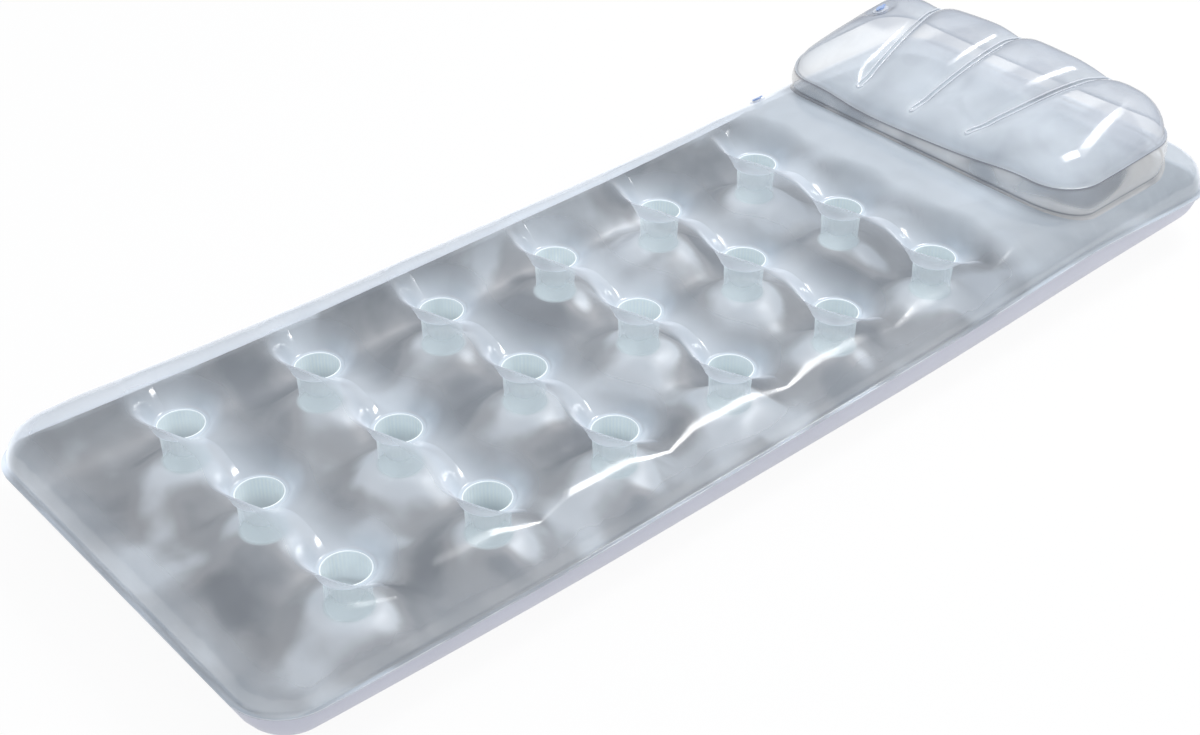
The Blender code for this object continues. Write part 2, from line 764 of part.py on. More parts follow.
def cap_outline(shift):
    """Round cap with a strap towards the hinge at +X and a pull tab on the other side."""
    half_strap = STRAP_WIDTH / 2
    half_tab = TAB_WIDTH / 2
    strap_angle = math.asin(half_strap / CAP_RADIUS)
    tab_angle = math.pi - math.asin(half_tab / CAP_RADIUS)
    arc = [strap_angle + (tab_angle - strap_angle) * step / VALVE_STEPS * 2
           for step in range(VALVE_STEPS // 2 + 1)]
    upper = [(CAP_RADIUS * math.cos(a), CAP_RADIUS * math.sin(a)) for a in arc]
    tab = [(-CAP_RADIUS - TAB_LENGTH + half_tab - half_tab * math.sin(a), half_tab * math.cos(a))
           for a in (math.pi * step / (VALVE_STEPS // 2) for step in range(VALVE_STEPS // 2 + 1))]
    lower = [(x, -y) for x, y in reversed(upper)]
    strap = [(HINGE_DISTANCE, -half_strap), (HINGE_DISTANCE, half_strap)]
    return [(x - shift, y) for x, y in strap + upper + tab + lower]


def make_valve(prefix, frame, film_outer, soft, clear):
    """Base welded under the film, stem that slides in its collar, plug on a strap, flap."""
    collar_outer = STEM_RADIUS + CLEARANCE + COLLAR_WALL
    collar_inner = STEM_RADIUS + CLEARANCE
    under_film = film_outer - FILM - CLEARANCE
    flange_low = under_film - VALVE_FLANGE_THICKNESS
    collar_low = under_film - COLLAR_DEPTH
    collar_high = film_outer + COLLAR_RISE
    base_profile = (
        (collar_inner, collar_low), (collar_outer, collar_low), (collar_outer, flange_low),
        (VALVE_FLANGE_RADIUS, flange_low), (VALVE_FLANGE_RADIUS, under_film),
        (collar_outer, under_film), (collar_outer, collar_high), (collar_inner, collar_high),
    )
    base = add_object(
        f"{prefix}_valve_base",
        lathe_mesh(f"{prefix}_valve_base", base_profile, VALVE_STEPS, True), clear,
    )
    base.matrix_world = frame

    rim_low = collar_high + CLEARANCE
    rim_high = rim_low + STEM_RIM_THICKNESS
    stem_low = rim_high - STEM_LENGTH
    stem_profile = (
        (STEM_BORE_RADIUS, stem_low), (STEM_RADIUS, stem_low), (STEM_RADIUS, rim_low),
        (STEM_RIM_RADIUS, rim_low), (STEM_RIM_RADIUS, rim_high), (STEM_BORE_RADIUS, rim_high),
    )
    stem = add_object(
        f"{prefix}_valve_stem",
        lathe_mesh(f"{prefix}_valve_stem", stem_profile, VALVE_STEPS, True), soft,
    )
    stem.matrix_world = frame
    cap_low = rim_high + CLEARANCE
    cap_high = cap_low + CAP_THICKNESS
    half_strap = STRAP_WIDTH / 2
    inner_x = (STEM_BORE_RADIUS + STEM_RIM_RADIUS) / 2
    lug_start = HINGE_DISTANCE + CLEARANCE
    lug_end = lug_start + STRAP_LUG_LENGTH
    shelf = ((inner_x, -half_strap), (lug_end, -half_strap),
             (lug_end, half_strap), (inner_x, half_strap))
    post = ((lug_start, -half_strap), (lug_end, -half_strap),
            (lug_end, half_strap), (lug_start, half_strap))
    shelf_low = rim_low + CLEARANCE
    join_solid(stem, plate_mesh(f"{prefix}_strap_shelf", shelf, shelf_low, rim_high))
    join_solid(stem, plate_mesh(f"{prefix}_strap_post", post, shelf_low, cap_high))

    hinge = Vector((HINGE_DISTANCE, 0, cap_high))
    plug = add_object(
        f"{prefix}_valve_plug",
        plate_mesh(f"{prefix}_valve_plug", cap_outline(HINGE_DISTANCE), -CAP_THICKNESS, 0), soft,
    )
    plug.matrix_world = frame @ Matrix.Translation(hinge)
    middle = (cap_low + cap_high) / 2
    nose_profile = (
        (PLUG_TIP_RADIUS, rim_high - PLUG_LENGTH), (PLUG_TOP_RADIUS, rim_high),
        (PLUG_TOP_RADIUS, middle),
    )
    nose = lathe_mesh(f"{prefix}_plug_nose", nose_profile, VALVE_STEPS, False)
    nose.transform(Matrix.Translation(-hinge))
    join_solid(plug, nose)

    flap_high = stem_low - CLEARANCE
    flap_profile = ((FLAP_RADIUS, -FLAP_THICKNESS), (FLAP_RADIUS, 0))
    flap_mesh = lathe_mesh(f"{prefix}_valve_flap", flap_profile, VALVE_STEPS, False)
    flap_mesh.transform(Matrix.Translation((-FLAP_RADIUS, 0, 0)))
    flap = add_object(f"{prefix}_valve_flap", flap_mesh, soft)
    flap.matrix_world = frame @ Matrix.Translation((FLAP_RADIUS, 0, flap_high))


TOP_SURFACE = with_pad(top_height, MAT_VALVE)
PILLOW_SURFACE = with_pad(pillow_height, PILLOW_VALVE)


def main():
    clear_scene()
    clear_film = make_material("clear_film", (0.86, 0.88, 0.95), 0.06, alpha=0.25)
    silver_film = make_material("silver_film", (0.62, 0.62, 0.66), 0.28, metallic=0.9)
    valve_plastic = make_material("valve_plastic", (0.55, 0.66, 0.90), 0.25, alpha=0.6)
    make_bottom_sheet(silver_film)
    make_top_sheet(clear_film)
    make_pocket_tubes(clear_film)
    make_pillow_band(clear_film)
    make_pillow_top(clear_film)
    make_pillow_ties(clear_film)
    make_valve("mat", MAT_VALVE, 0.0, valve_plastic, clear_film)
    make_valve("pillow", PILLOW_VALVE, FILM, valve_plastic, clear_film)


main()
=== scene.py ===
"""Clear and silver inflatable lounge mat with eighteen pockets, a pillow and two air valves."""
import json
import math

import bmesh
import bpy
import numpy as np
from mathutils import Matrix, Vector


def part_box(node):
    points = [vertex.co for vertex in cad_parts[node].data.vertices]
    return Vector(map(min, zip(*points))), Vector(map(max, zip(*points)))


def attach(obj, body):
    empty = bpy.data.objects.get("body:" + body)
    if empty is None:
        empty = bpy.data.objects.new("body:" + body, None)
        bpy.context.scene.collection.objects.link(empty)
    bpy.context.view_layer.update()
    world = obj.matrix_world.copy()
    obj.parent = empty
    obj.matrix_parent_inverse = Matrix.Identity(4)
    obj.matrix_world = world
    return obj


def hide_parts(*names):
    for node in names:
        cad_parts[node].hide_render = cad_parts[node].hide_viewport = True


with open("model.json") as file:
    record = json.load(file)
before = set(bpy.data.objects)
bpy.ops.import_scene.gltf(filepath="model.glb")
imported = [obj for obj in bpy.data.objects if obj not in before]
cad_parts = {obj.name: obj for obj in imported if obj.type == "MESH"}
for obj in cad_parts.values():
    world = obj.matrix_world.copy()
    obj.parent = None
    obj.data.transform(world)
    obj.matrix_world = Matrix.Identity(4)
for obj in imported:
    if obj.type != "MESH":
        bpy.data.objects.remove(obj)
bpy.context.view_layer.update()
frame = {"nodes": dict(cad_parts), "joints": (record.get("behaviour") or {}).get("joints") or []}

bl_info = {
    "name": "Inflatable Lounge Mat",
    "version": (1, 0, 0),
    "blender": (4, 5, 0),
    "location": "View3D > Sidebar > Lounge",
    "description": "Builds the films, pockets, pillow and valves of an inflatable lounge mat",
    "category": "Add Mesh",
}

# Places taken from the frame, and the grid of pockets
HALF_X, HALF_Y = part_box("top_sheet")[1].xy
CORNER_RADIUS = 0.075
SEAM_WIDTH = 0.007
ROW_PITCH = 0.209
COLUMN_PITCH = 0.183
POCKET_NAMES = sorted(name for name in frame["nodes"] if name.startswith("pocket_tube"))
POCKET_BOXES = [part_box(name) for name in POCKET_NAMES]
POCKETS = np.array([[(low.x + high.x) / 2, (low.y + high.y) / 2] for low, high in POCKET_BOXES])
ROW_YS = np.unique(np.round(POCKETS[:, 1], 5))
COLUMN_X = POCKETS[:, 0].max()
BLOCK_X = COLUMN_X + COLUMN_PITCH / 2
BLOCK_Y = ROW_YS[5] + ROW_PITCH / 2
BLOCK_HEAD_Y = -(ROW_YS[0] - ROW_PITCH / 2)
PILLOW_LOW, PILLOW_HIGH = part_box("pillow_top")
PILLOW_HALF_X = PILLOW_HIGH.x
PILLOW_FRONT_Y = PILLOW_LOW.y
PILLOW_BACK_Y = PILLOW_HIGH.y
PILLOW_Y = (PILLOW_FRONT_Y + PILLOW_BACK_Y) / 2
PILLOW_HALF_Y = (PILLOW_BACK_Y - PILLOW_FRONT_Y) / 2
PILLOW_MARGIN = 0.072

# Curl of both ends, past the flat middle
FLAT_START_Y = ROW_YS[1] + ROW_PITCH / 2
FLAT_END_Y = ROW_YS[4]
HEAD_LIFT = 0.030
FOOT_LIFT = 0.017
LIFT_POWER = 1.5

# Films: thickness, gap over the seam, flat lands round the pockets' welds
FILM_THICKNESS = 0.0003
FILM_GAP = 0.0006
RING_LAND = 0.036
FLOOR_LAND = 0.030

# Flat seat and round hole under each valve's flange
SEAT_RADIUS = 0.018
SEAT_GAP = 0.0002
FLANGE_START = 0.011
HOLE_RADIUS = 0.0085
HOLE_SIDES = 16
HOLE_SEARCH = 0.022

# Pillow's band, and the beads on top of its ties
BAND_FOOT = 0.006
BAND_BULGE = 0.004
TIE_WELD_REACH = 0.0040
TIE_WELD_LIFT = 0.0012
TIE_WELD_RADIUS = 0.0015

# Plan ends of the pillow's three ties, front then back, from left to right
TIE_ENDS = [
    (np.array((number * 0.110 - 0.025, PILLOW_FRONT_Y + 0.023)),
     np.array((number * 0.169 - 0.005, PILLOW_BACK_Y - 0.030)))
    for number in (-1, 0, 1)
]

# Studio
STUDIO_FLOOR_Z = -0.0006
CAMERA_PLACE = (1.580, -1.5305, 1.5414)
LIGHT_TARGET = (0.0, 0.1, 0.0)


def metres(name, description, default):
    """A length that the user can change."""
    return bpy.props.FloatProperty(
        name=name, description=description, default=default, unit="LENGTH")


def degrees(name, description, default):
    """An angle that the user can change."""
    return bpy.props.FloatProperty(
        name=name, description=description, default=math.radians(default), subtype="ANGLE")


def fraction(name, description, default):
    """A share that the user can change."""
    return bpy.props.FloatProperty(name=name, description=description, default=default)


def paint(name, description, default):
    """A colour that the user can change."""
    return bpy.props.FloatVectorProperty(
        name=name, description=description, subtype="COLOR", default=default)


class FilmShape(bpy.types.PropertyGroup):
    """Sizes of the mat's two films."""

    crown_height: metres("Crown height", "Top film between the pockets", 0.139)
    ring_height: metres("Ring height", "Weld round each pocket's mouth", 0.096)
    floor_height: metres("Floor height", "Pocket floors above the ground", 0.040)
    foot_seam: metres("Foot seam", "Height of the edge seam at the foot", 0.063)
    shoulder_seam: metres(
        "Shoulder seam", "Height of the edge seam before the pillow", 0.086)
    head_seam: metres("Head seam", "Height of the edge seam at the head", 0.058)
    top_roll: metres("Top roll", "Width of the top film's rounded edge", 0.100)
    bottom_roll: metres("Bottom roll", "Width of the bottom film's rounded edge", 0.052)
    top_funnel: metres("Top funnel", "How far a pocket pulls the top film down", 0.055)
    side_funnel: metres(
        "Side funnel", "The same across the row, where the film is steeper", 0.037)
    bottom_funnel: metres("Bottom funnel", "How far a floor lifts the bottom film", 0.078)
    valley_share: fraction(
        "Valley depth", "Depth of the valleys along the rows, as a share", 0.50)
    crease_depth: metres("Crease depth", "Sharp crease along each row of pockets", 0.0022)
    pucker_depth: metres("Pucker depth", "Small gathers along the edge seam", 0.0011)


class PocketShape(bpy.types.PropertyGroup):
    """Sizes of the pocket walls."""

    ring_radius: metres("Ring radius", "Mouth of a pocket", 0.031)
    floor_radius: metres("Floor radius", "Floor of a pocket", 0.029)
    weld_width: metres("Weld width", "Flat weld round the mouth and the floor", 0.005)
    waist_radius: metres("Waist radius", "Wall half way down", 0.0285)
    pleat_count: bpy.props.IntProperty(
        name="Pleats", description="Upright pleats round a wall", default=38)
    pleat_depth: metres("Pleat depth", "Depth of the upright pleats", 0.00018)
    bead_height: metres("Bead height", "Rolled bead on the mouth", 0.0007)


class PillowShape(bpy.types.PropertyGroup):
    """Sizes of the pillow."""

    band_height: metres("Band height", "Band's top edge above the mat's crown", 0.0275)
    end_rise: metres("End rise", "How much higher the band's edge is at the ends", 0.007)
    corner_rise: metres(
        "Corner rise", "How much the band's edge swells near its front corners", 0.008)
    lean: metres(
        "Lean", "How much lower the band's front edge is on the valves' side", 0.010)
    corner_radius: metres("Corner radius", "Corners of the pillow in plan", 0.072)
    lip_width: metres("Lip width", "Flat weld between the band and the top", 0.005)
    rise: metres("Rise", "Lobes above the band's edge at the back", 0.090)
    edge_roll: metres("Edge roll", "Width of the rounded edge", 0.070)
    front_share: fraction(
        "Front share", "Rise at the front as a share of the back's", 0.50)
    swell: fraction(
        "Swell", "Extra fullness of the lobes half way back, as a share", 0.10)
    cross_fall: fraction("Cross fall", "How much lower the outer lobes are, as a share", 0.40)
    groove_depth: metres("Groove depth", "Depth of the grooves over the ties", 0.028)
    groove_width: metres("Groove width", "Half width of the grooves", 0.052)


class FilmColours(bpy.types.PropertyGroup):
    """Colours of the films and plastics."""

    clear: paint("Clear film", "Haze of the mat's clear film", (0.60, 0.68, 0.76))
    pillow: paint("Pillow film", "Haze of the pillow's top", (0.79, 0.86, 0.95))
    band: paint("Pillow band", "Upright strip round the pillow", (0.86, 0.84, 0.80))
    pocket: paint("Pocket film", "Walls of the pockets", (0.78, 0.87, 0.93))
    # The next three silver greys are painted reflections, blotched over the silver film
    silver_reflection_dark: paint("Silver dark", "Darkest grey of the silver film", (0.12, 0.12, 0.13))
    silver_reflection_warm: paint("Silver warm", "Warm grey of the silver film", (0.37, 0.355, 0.35))
    silver_reflection_pale: paint("Silver pale", "Palest grey of the silver film", (0.84, 0.87, 0.90))
    silver_outside: paint("Silver outside", "Outside of the silver film", (0.545, 0.56, 0.64))
    valve: paint("Valve", "Soft plastic of the valves", (0.42, 0.56, 0.86))


class StageLight(bpy.types.PropertyGroup):
    """Light and camera of the studio."""

    world_strength: fraction("Room light", "Strength of the pale room", 0.84)
    key_power: bpy.props.FloatProperty(
        name="Key power", description="Overhead soft light", default=34.0, unit="POWER")
    field_of_view: degrees("Field of view", "Camera's view across the picture", 35.96)
    azimuth: degrees("Azimuth", "Camera's turn to the left of the mat's length", 48.403)
    elevation: degrees("Elevation", "How far the camera looks down", 35.542)
    roll: degrees("Roll", "Camera's lean to the left", 0.358)


# Shape helpers

def ease(value):
    """Smooth step: 3v^2 - 2v^3 of the value clipped to 0 and 1."""
    value = np.clip(value, 0, 1)
    return value * value * (3 - 2 * value)


def bell(distance, width):
    """Bell curve: e to the power of minus (distance / width) squared."""
    return np.exp(-(distance / width) ** 2)


def rounded_inset(x, y, half_x, half_y, radius):
    """Distance inwards from a rounded rectangle: radius less the length to the corner's middle."""
    over_x = np.abs(x) - (half_x - radius)
    over_y = np.abs(y) - (half_y - radius)
    outside = np.hypot(np.maximum(over_x, 0), np.maximum(over_y, 0))
    return radius - outside - np.minimum(np.maximum(over_x, over_y), 0)


def quarter_arch(distance, roll):
    """Quarter circle: the root of 1 less (1 - distance / roll) squared."""
    share = np.clip(distance / roll, 0, 1)
    return np.sqrt(1 - (1 - share) ** 2)


def end_lift(y):
    """Curl of the mat's ends: lift times (distance past the flat middle) to the power 1.5."""
    head = np.maximum(y - FLAT_END_Y, 0) / (HALF_Y - FLAT_END_Y)
    foot = np.maximum(FLAT_START_Y - y, 0) / (HALF_Y + FLAT_START_Y)
    return HEAD_LIFT * head ** LIFT_POWER + FOOT_LIFT * foot ** LIFT_POWER


def nearest_row(y):
    """Lengthwise place of the nearest row of pockets."""
    return ROW_YS[0] + np.clip(np.round((y - ROW_YS[0]) / ROW_PITCH), 0, 5) * ROW_PITCH


def pocket_pull(x, y, reach, side_reach):
    """Pull towards the welds: 1 less the product over the pockets of 1 - (1 - share)^2.2.

    The share is the distance past a weld's land over the reach, which is shorter across a row.
    """
    free = np.ones(np.shape(x))
    for px, py in POCKETS:
        distance = np.hypot(x - px, y - py)
        along = (np.abs(x - px) / np.maximum(distance, 1e-6)) ** 5
        width = side_reach + (reach - side_reach) * along
        share = np.clip((distance - RING_LAND) / width, 0, 1)
        free = free * (1 - (1 - share) ** (2.2 - 0.4 * along))
    return 1 - free


def floor_hills(x, y, reach):
    """Soft hill round each pocket's floor: 1 at the floor, eased to 0 over a lobed reach."""
    flat = np.ones(np.shape(x))
    draw = np.random.default_rng(31)
    for px, py in POCKETS:
        angle = np.arctan2(y - py, x - px)
        first, second = draw.uniform(0, 2 * math.pi, 2)
        wave = np.sin(3 * angle + first) + 0.7 * np.sin(5 * angle + second)
        share = (np.hypot(x - px, y - py) - FLOOR_LAND) / (reach * (1 + 0.09 * wave))
        flat = flat * ease(share)
    return 1 - flat


def mat_inset(x, y):
    """Distance inwards from the mat's edge."""
    return rounded_inset(x, y, HALF_X, HALF_Y, CORNER_RADIUS)


def mat_arch(x, y, roll):
    """Quarter arch from the seam inwards; its corners grow rounder the further in they are."""
    inner_radius = roll + 0.030
    inset = mat_inset(x, y) - SEAM_WIDTH
    rounder = rounded_inset(x, y, HALF_X, HALF_Y, inner_radius) - SEAM_WIDTH
    share = ease(inset / (0.7 * roll))
    return quarter_arch(inset + (rounder - inset) * share, roll)


def seam_height(y, film):
    """Edge seam: straight from the foot to the pillow's front, then eased down to the head."""
    share = np.clip((y + HALF_Y) / (PILLOW_FRONT_Y + HALF_Y), 0, 1)
    rising = film.foot_seam + share * (film.shoulder_seam - film.foot_seam)
    fall = ease((y - PILLOW_FRONT_Y) / (HALF_Y - PILLOW_FRONT_Y))
    return rising + fall * (film.head_seam - film.shoulder_seam)


def waver(t, seed):
    """Sum of four sines of unlike lengths, between about -1 and 1."""
    draw = np.random.default_rng(seed)
    lengths = (0.037, 0.053, 0.089, 0.151)
    phases = draw.uniform(0, 2 * math.pi, len(lengths))
    waves = [np.sin(2 * math.pi * t / length + phase) for length, phase in zip(lengths, phases)]
    return sum(waves) / 2.4


def edge_travel(x, y):
    """Length along the edge from the middle of a long side, on through the corner's arc."""
    straight_y = HALF_Y - CORNER_RADIUS
    over_x = np.abs(x) - (HALF_X - CORNER_RADIUS)
    over_y = np.abs(y) - straight_y
    turn = np.arctan2(np.maximum(over_y, 0), np.maximum(over_x, 0))
    straight = np.where(over_x > over_y, np.minimum(np.abs(y), straight_y),
                        straight_y + np.maximum(-over_x, 0))
    return straight + CORNER_RADIUS * turn


def seam_puckers(x, y, film):
    """Gathers along the seam: a wavering sine of the place along it, fading inwards."""
    inset = mat_inset(x, y)
    along = edge_travel(x, y) + 0.012 * np.sin(3 * x - 2 * y)
    corner = (ease((np.abs(x) - HALF_X + 0.10) / 0.05)
              * ease((np.abs(y) - HALF_Y + 0.10) / 0.05))
    strength = 0.55 + 0.45 * waver(along * 0.6, 5) + 0.9 * corner
    spacing = 0.021 - 0.005 * corner
    wave = np.sin(2 * math.pi * along / spacing + 2.2 * waver(along, 3))
    fade = bell(inset - 0.017, 0.012) * ease((inset - 0.003) / 0.010)
    return film.pucker_depth * strength * wave * fade


def row_creases(x, y, film):
    """Sharp crease along each row: a narrow bell across the row, strongest between pockets."""
    across = y - nearest_row(y)
    phase = np.cos(2 * math.pi * (x - COLUMN_X) / COLUMN_PITCH)
    between = ease((1 - phase) / 1.2) * (1 - ease((np.abs(x) - 0.262) / 0.03))
    sharp = np.exp(-np.abs(across) / 0.0035)
    return film.crease_depth * between * (0.55 * sharp + 0.45 * bell(across, 0.012))


def row_veil(x, y):
    """Haze along a row of pockets: a bell across the row that fades past the outer pockets."""
    return bell(y - nearest_row(y), RING_LAND) * (1 - ease((np.abs(x) - COLUMN_X) / 0.09))


def painted_sheen_spots(x, y):
    """Painted sheen: pale spots, the highest of a 19 mm bell beside each floor and two 50 mm ones
    at the foot.
    """
    spots = np.zeros(np.shape(x))
    for number, (px, py) in enumerate(POCKETS):
        shift = 0.006 * math.sin(2.4 * number)
        distance = np.hypot((x - px - 0.044 - shift) / 1.25, y - py - 0.018 + shift)
        spots = np.maximum(spots, bell(distance, 0.019))
    for sign in (1, -1):
        distance = np.hypot(x - 0.255 * sign, y + 0.80 + 0.02 * sign)
        spots = np.maximum(spots, 0.7 * bell(distance, 0.050))
    return spots


def ring_creases(x, y):
    """Fine folds that fan out from each weld: sines of the angle that fade with distance."""
    total = np.zeros(np.shape(x))
    draw = np.random.default_rng(11)
    for px, py in POCKETS:
        dx, dy = x - px, y - py
        angle = np.arctan2(dy, dx)
        first, second = draw.uniform(0, 2 * math.pi, 2)
        wave = np.sin(9 * angle + first) + 0.8 * np.sin(14 * angle + second)
        total = total + wave * bell(np.hypot(dx, dy) - 0.044, 0.010)
    return 0.00012 * total


def valve_seat(prefix):
    """Middle and axis of the flat under a valve's flange, from the solid base and its slide."""
    joints = {joint["name"]: joint for joint in frame["joints"]}
    axis = np.array(joints[f"{prefix}_valve_stem_slide"]["axis"])
    base = bpy.data.objects[f"{prefix}_valve_base"]
    points = np.array([base.matrix_world @ vertex.co for vertex in base.data.vertices])
    level = points @ axis
    collar = points[level < level.min() + 0.0001].mean(axis=0)
    flange = np.linalg.norm(np.cross(points - collar, axis), axis=1) > FLANGE_START
    return collar + axis * (level[flange].min() - level.min()), axis


SEATS = {prefix: valve_seat(prefix) for prefix in ("mat", "pillow")}


def seated(x, y, height, seat):
    """Height drawn to the flat under a valve's flange, eased out over as much again round it."""
    middle, axis = seat
    fall = (axis[0] * (x - middle[0]) + axis[1] * (y - middle[1])) / axis[2]
    distance = np.sqrt((x - middle[0]) ** 2 + (y - middle[1]) ** 2 + fall ** 2)
    share = 1 - ease((distance - SEAT_RADIUS) / SEAT_RADIUS)
    return height + (middle[2] - fall - SEAT_GAP - height) * share


def top_film_height(x, y, film):
    """Crown that falls to the seam by a quarter arch, with valleys, funnels and creases."""
    seam = seam_height(y, film)
    arch = mat_arch(x, y, film.top_roll)
    across = np.minimum(np.abs(y - nearest_row(y)) / 0.058, 1)
    along = 1 - ease((np.abs(x) - COLUMN_X) / 0.120)
    depth = film.crown_height - film.ring_height
    valley = film.valley_share * along * (1 - across ** 2) ** 2 * depth
    free = seam + (film.crown_height - seam - valley) * arch + end_lift(y) + FILM_GAP
    free = free - row_creases(x, y, film) + seam_puckers(x, y, film) + ring_creases(x, y)
    ring = film.ring_height + end_lift(nearest_row(y))
    pull = pocket_pull(x, y, film.top_funnel, film.side_funnel)
    return seated(x, y, free + (ring - free) * pull, SEATS["mat"])


def bottom_film_height(x, y, film):
    """Flat on the ground, raised to each floor, rising to the seam by a quarter arch."""
    arch = quarter_arch(mat_inset(x, y) - SEAM_WIDTH, film.bottom_roll)
    free = (seam_height(y, film) - FILM_THICKNESS) * (1 - arch) + end_lift(y)
    floor = film.floor_height + end_lift(nearest_row(y)) - FILM_THICKNESS
    return free + (floor - free) * floor_hills(x, y, film.bottom_funnel)


# Mesh helpers

def patch_faces(rows, columns, start):
    """Four-sided faces of a grid of points, numbered row by row from a start."""
    index = start + np.arange(rows * columns).reshape(rows, columns)
    corners = (index[:-1, :-1], index[:-1, 1:], index[1:, 1:], index[1:, :-1])
    return np.stack([corner.ravel() for corner in corners], axis=1)


def make_piece(name, patches, materials, flip=False, attributes=None, marks=None):
    """Join grids of points into one mesh, merging points that meet and closing the poles.

    The attributes are worked out from the merged points, and the marks have a value for each
    point of the grids.
    """
    starts = np.cumsum([0] + [patch.shape[0] * patch.shape[1] for patch in patches])
    faces = np.concatenate(
        [patch_faces(*patch.shape[:2], start) for patch, start in zip(patches, starts)])
    points = np.concatenate([patch.reshape(-1, 3) for patch in patches])
    _, keep, merged = np.unique(
        np.round(points, 6), axis=0, return_index=True, return_inverse=True)
    points = points[keep]
    faces = merged.reshape(-1)[faces]
    if flip:
        faces = faces[:, ::-1]
    same = faces == np.roll(faces, -1, axis=1)
    whole = ~same.any(axis=1)
    thin = same.sum(axis=1) == 1
    triangles = faces[thin][~same[thin]].reshape(-1, 3)
    mesh = bpy.data.meshes.new(name)
    mesh.from_pydata(points, [], faces[whole].tolist() + triangles.tolist())
    layers = attributes(points) if attributes else {}
    for key, mark in (marks or {}).items():
        layers[key] = mark.reshape(-1)[keep]
    for key, values in layers.items():
        layer = mesh.attributes.new(key, "FLOAT", "POINT")
        layer.data.foreach_set("value", np.ascontiguousarray(values, dtype=np.float32))
    for material in materials:
        mesh.materials.append(material)
    mesh.shade_smooth()
    piece = bpy.data.objects.new(name, mesh)
    bpy.context.scene.collection.objects.link(piece)
    return piece


def open_hole(piece, seat):
    """Cut a many-sided hole for a valve's collar out of a film."""
    middle, axis = Vector(seat[0]), Vector(seat[1])
    first = axis.orthogonal().normalized()
    second = axis.cross(first)
    angles = [2 * math.pi * number / HOLE_SIDES for number in range(HOLE_SIDES)]
    outwards = [first * math.cos(angle) + second * math.sin(angle) for angle in angles]
    mesh = bmesh.new()
    mesh.from_mesh(piece.data)

    def near(reach):
        return [f for f in mesh.faces if (f.calc_center_median() - middle).length < reach]

    for outward in outwards:
        faces = near(HOLE_SEARCH)
        edges = {edge for face in faces for edge in face.edges}
        verts = {vert for face in faces for vert in face.verts}
        bmesh.ops.bisect_plane(
            mesh, geom=faces + list(edges) + list(verts), dist=1e-6,
            plane_co=middle + outward * HOLE_RADIUS, plane_no=outward)
    inside = []
    for face in near(2 * HOLE_RADIUS):
        offset = face.calc_center_median() - middle
        if max(offset.dot(outward) for outward in outwards) < HOLE_RADIUS:
            inside.append(face)
    bmesh.ops.delete(mesh, geom=inside, context="FACES")
    mesh.to_mesh(piece.data)
    mesh.free()


def heading(path):
    """Unit direction along a closed path, from the point before to the point after."""
    ahead = np.roll(path, -1, axis=0) - np.roll(path, 1, axis=0)
    return ahead / np.linalg.norm(ahead, axis=1, keepdims=True)


def arc(x, y, radius, angle):
    """Points on a circle: its middle plus radius times cosine and sine of the angle."""
    return np.stack([x + radius * np.cos(angle), y + radius * np.sin(angle)], axis=-1)


def tube_along(path, radius, sides):
    """Round profile on a closed path: point plus radius times cosine and sine of two normals."""
    ahead = heading(path)
    side = np.cross(ahead, (0.0, 0.0, 1.0))
    side /= np.maximum(np.linalg.norm(side, axis=1, keepdims=True), 1e-9)
    lift = np.cross(side, ahead)
    angle = np.linspace(0, 2 * math.pi, sides + 1)[None, :, None]
    ring = side[:, None] * np.cos(angle) + lift[:, None] * np.sin(angle)
    radius = np.broadcast_to(radius, (len(path),))[:, None, None]
    grid = path[:, None] + radius * ring
    return np.concatenate([grid, grid[:1]])


def edge_loop(half_x, half_y, radius, step):
    """Points round a rounded rectangle: arcs at the corners and even steps between them."""
    turn = 90 * np.arange(13) / 12
    corners = [
        arc(sign_x * (half_x - radius), sign_y * (half_y - radius), radius,
            np.radians(start + turn))
        for sign_x, sign_y, start in ((1, -1, -90), (1, 1, 0), (-1, 1, 90), (-1, -1, 180))]
    ring = np.concatenate(corners + [corners[0][:1]])
    travel = np.concatenate([[0], np.cumsum(np.linalg.norm(np.diff(ring, axis=0), axis=1))])
    places = np.arange(0, travel[-1] - step / 2, step)
    return np.stack([np.interp(places, travel, ring[:, k]) for k in range(2)], axis=1)


def arch_insets(reach, roll, steps):
    """Distances from an edge for even steps of the arch's angle, with the flat weld first."""
    last = math.acos(max(1 - (reach - SEAM_WIDTH) / roll, 0.0))
    angles = np.linspace(0, last, steps)
    curve = SEAM_WIDTH + roll * (1 - np.cos(angles))
    curve[-1] = reach
    return np.concatenate([[0.0, SEAM_WIDTH / 2], curve])


def dense_middle(half, steps):
    """Places from -half to half, closer together in the middle: half times |u|^1.7."""
    u = np.linspace(-1, 1, steps + 1)
    return half * np.sign(u) * np.abs(u) ** 1.7


def cell_outline(side_steps, end_steps):
    """Edge of a pocket's cell about its middle, clockwise from its lower right corner."""
    half_x, half_y = COLUMN_PITCH / 2, ROW_PITCH / 2
    ys = dense_middle(half_y, side_steps)
    xs = np.linspace(-half_x, half_x, end_steps + 1)
    right = np.stack([np.full_like(ys, half_x), ys], axis=1)
    top = np.stack([xs[::-1], np.full_like(xs, half_y)], axis=1)
    left = np.stack([np.full_like(ys, -half_x), ys[::-1]], axis=1)
    bottom = np.stack([xs, np.full_like(xs, -half_y)], axis=1)
    return np.concatenate([right[:-1], top[:-1], left[:-1], bottom])[::-1]


def pocket_cell(circles, side_steps, end_steps, radial_steps):
    """Rays from circles round a pocket out to its cell's edge, closer together near the weld."""
    outline = cell_outline(side_steps, end_steps)
    reach = np.linalg.norm(outline, axis=1)
    share = np.linspace(0, 1, radial_steps + 1)[1:] ** 1.35
    inner = np.broadcast_to(np.array(circles)[:, None], (len(circles), len(reach)))
    outer = circles[-1] + share[:, None] * (reach - circles[-1])[None, :]
    return np.concatenate([inner, outer])[..., None] * (outline / reach[:, None])


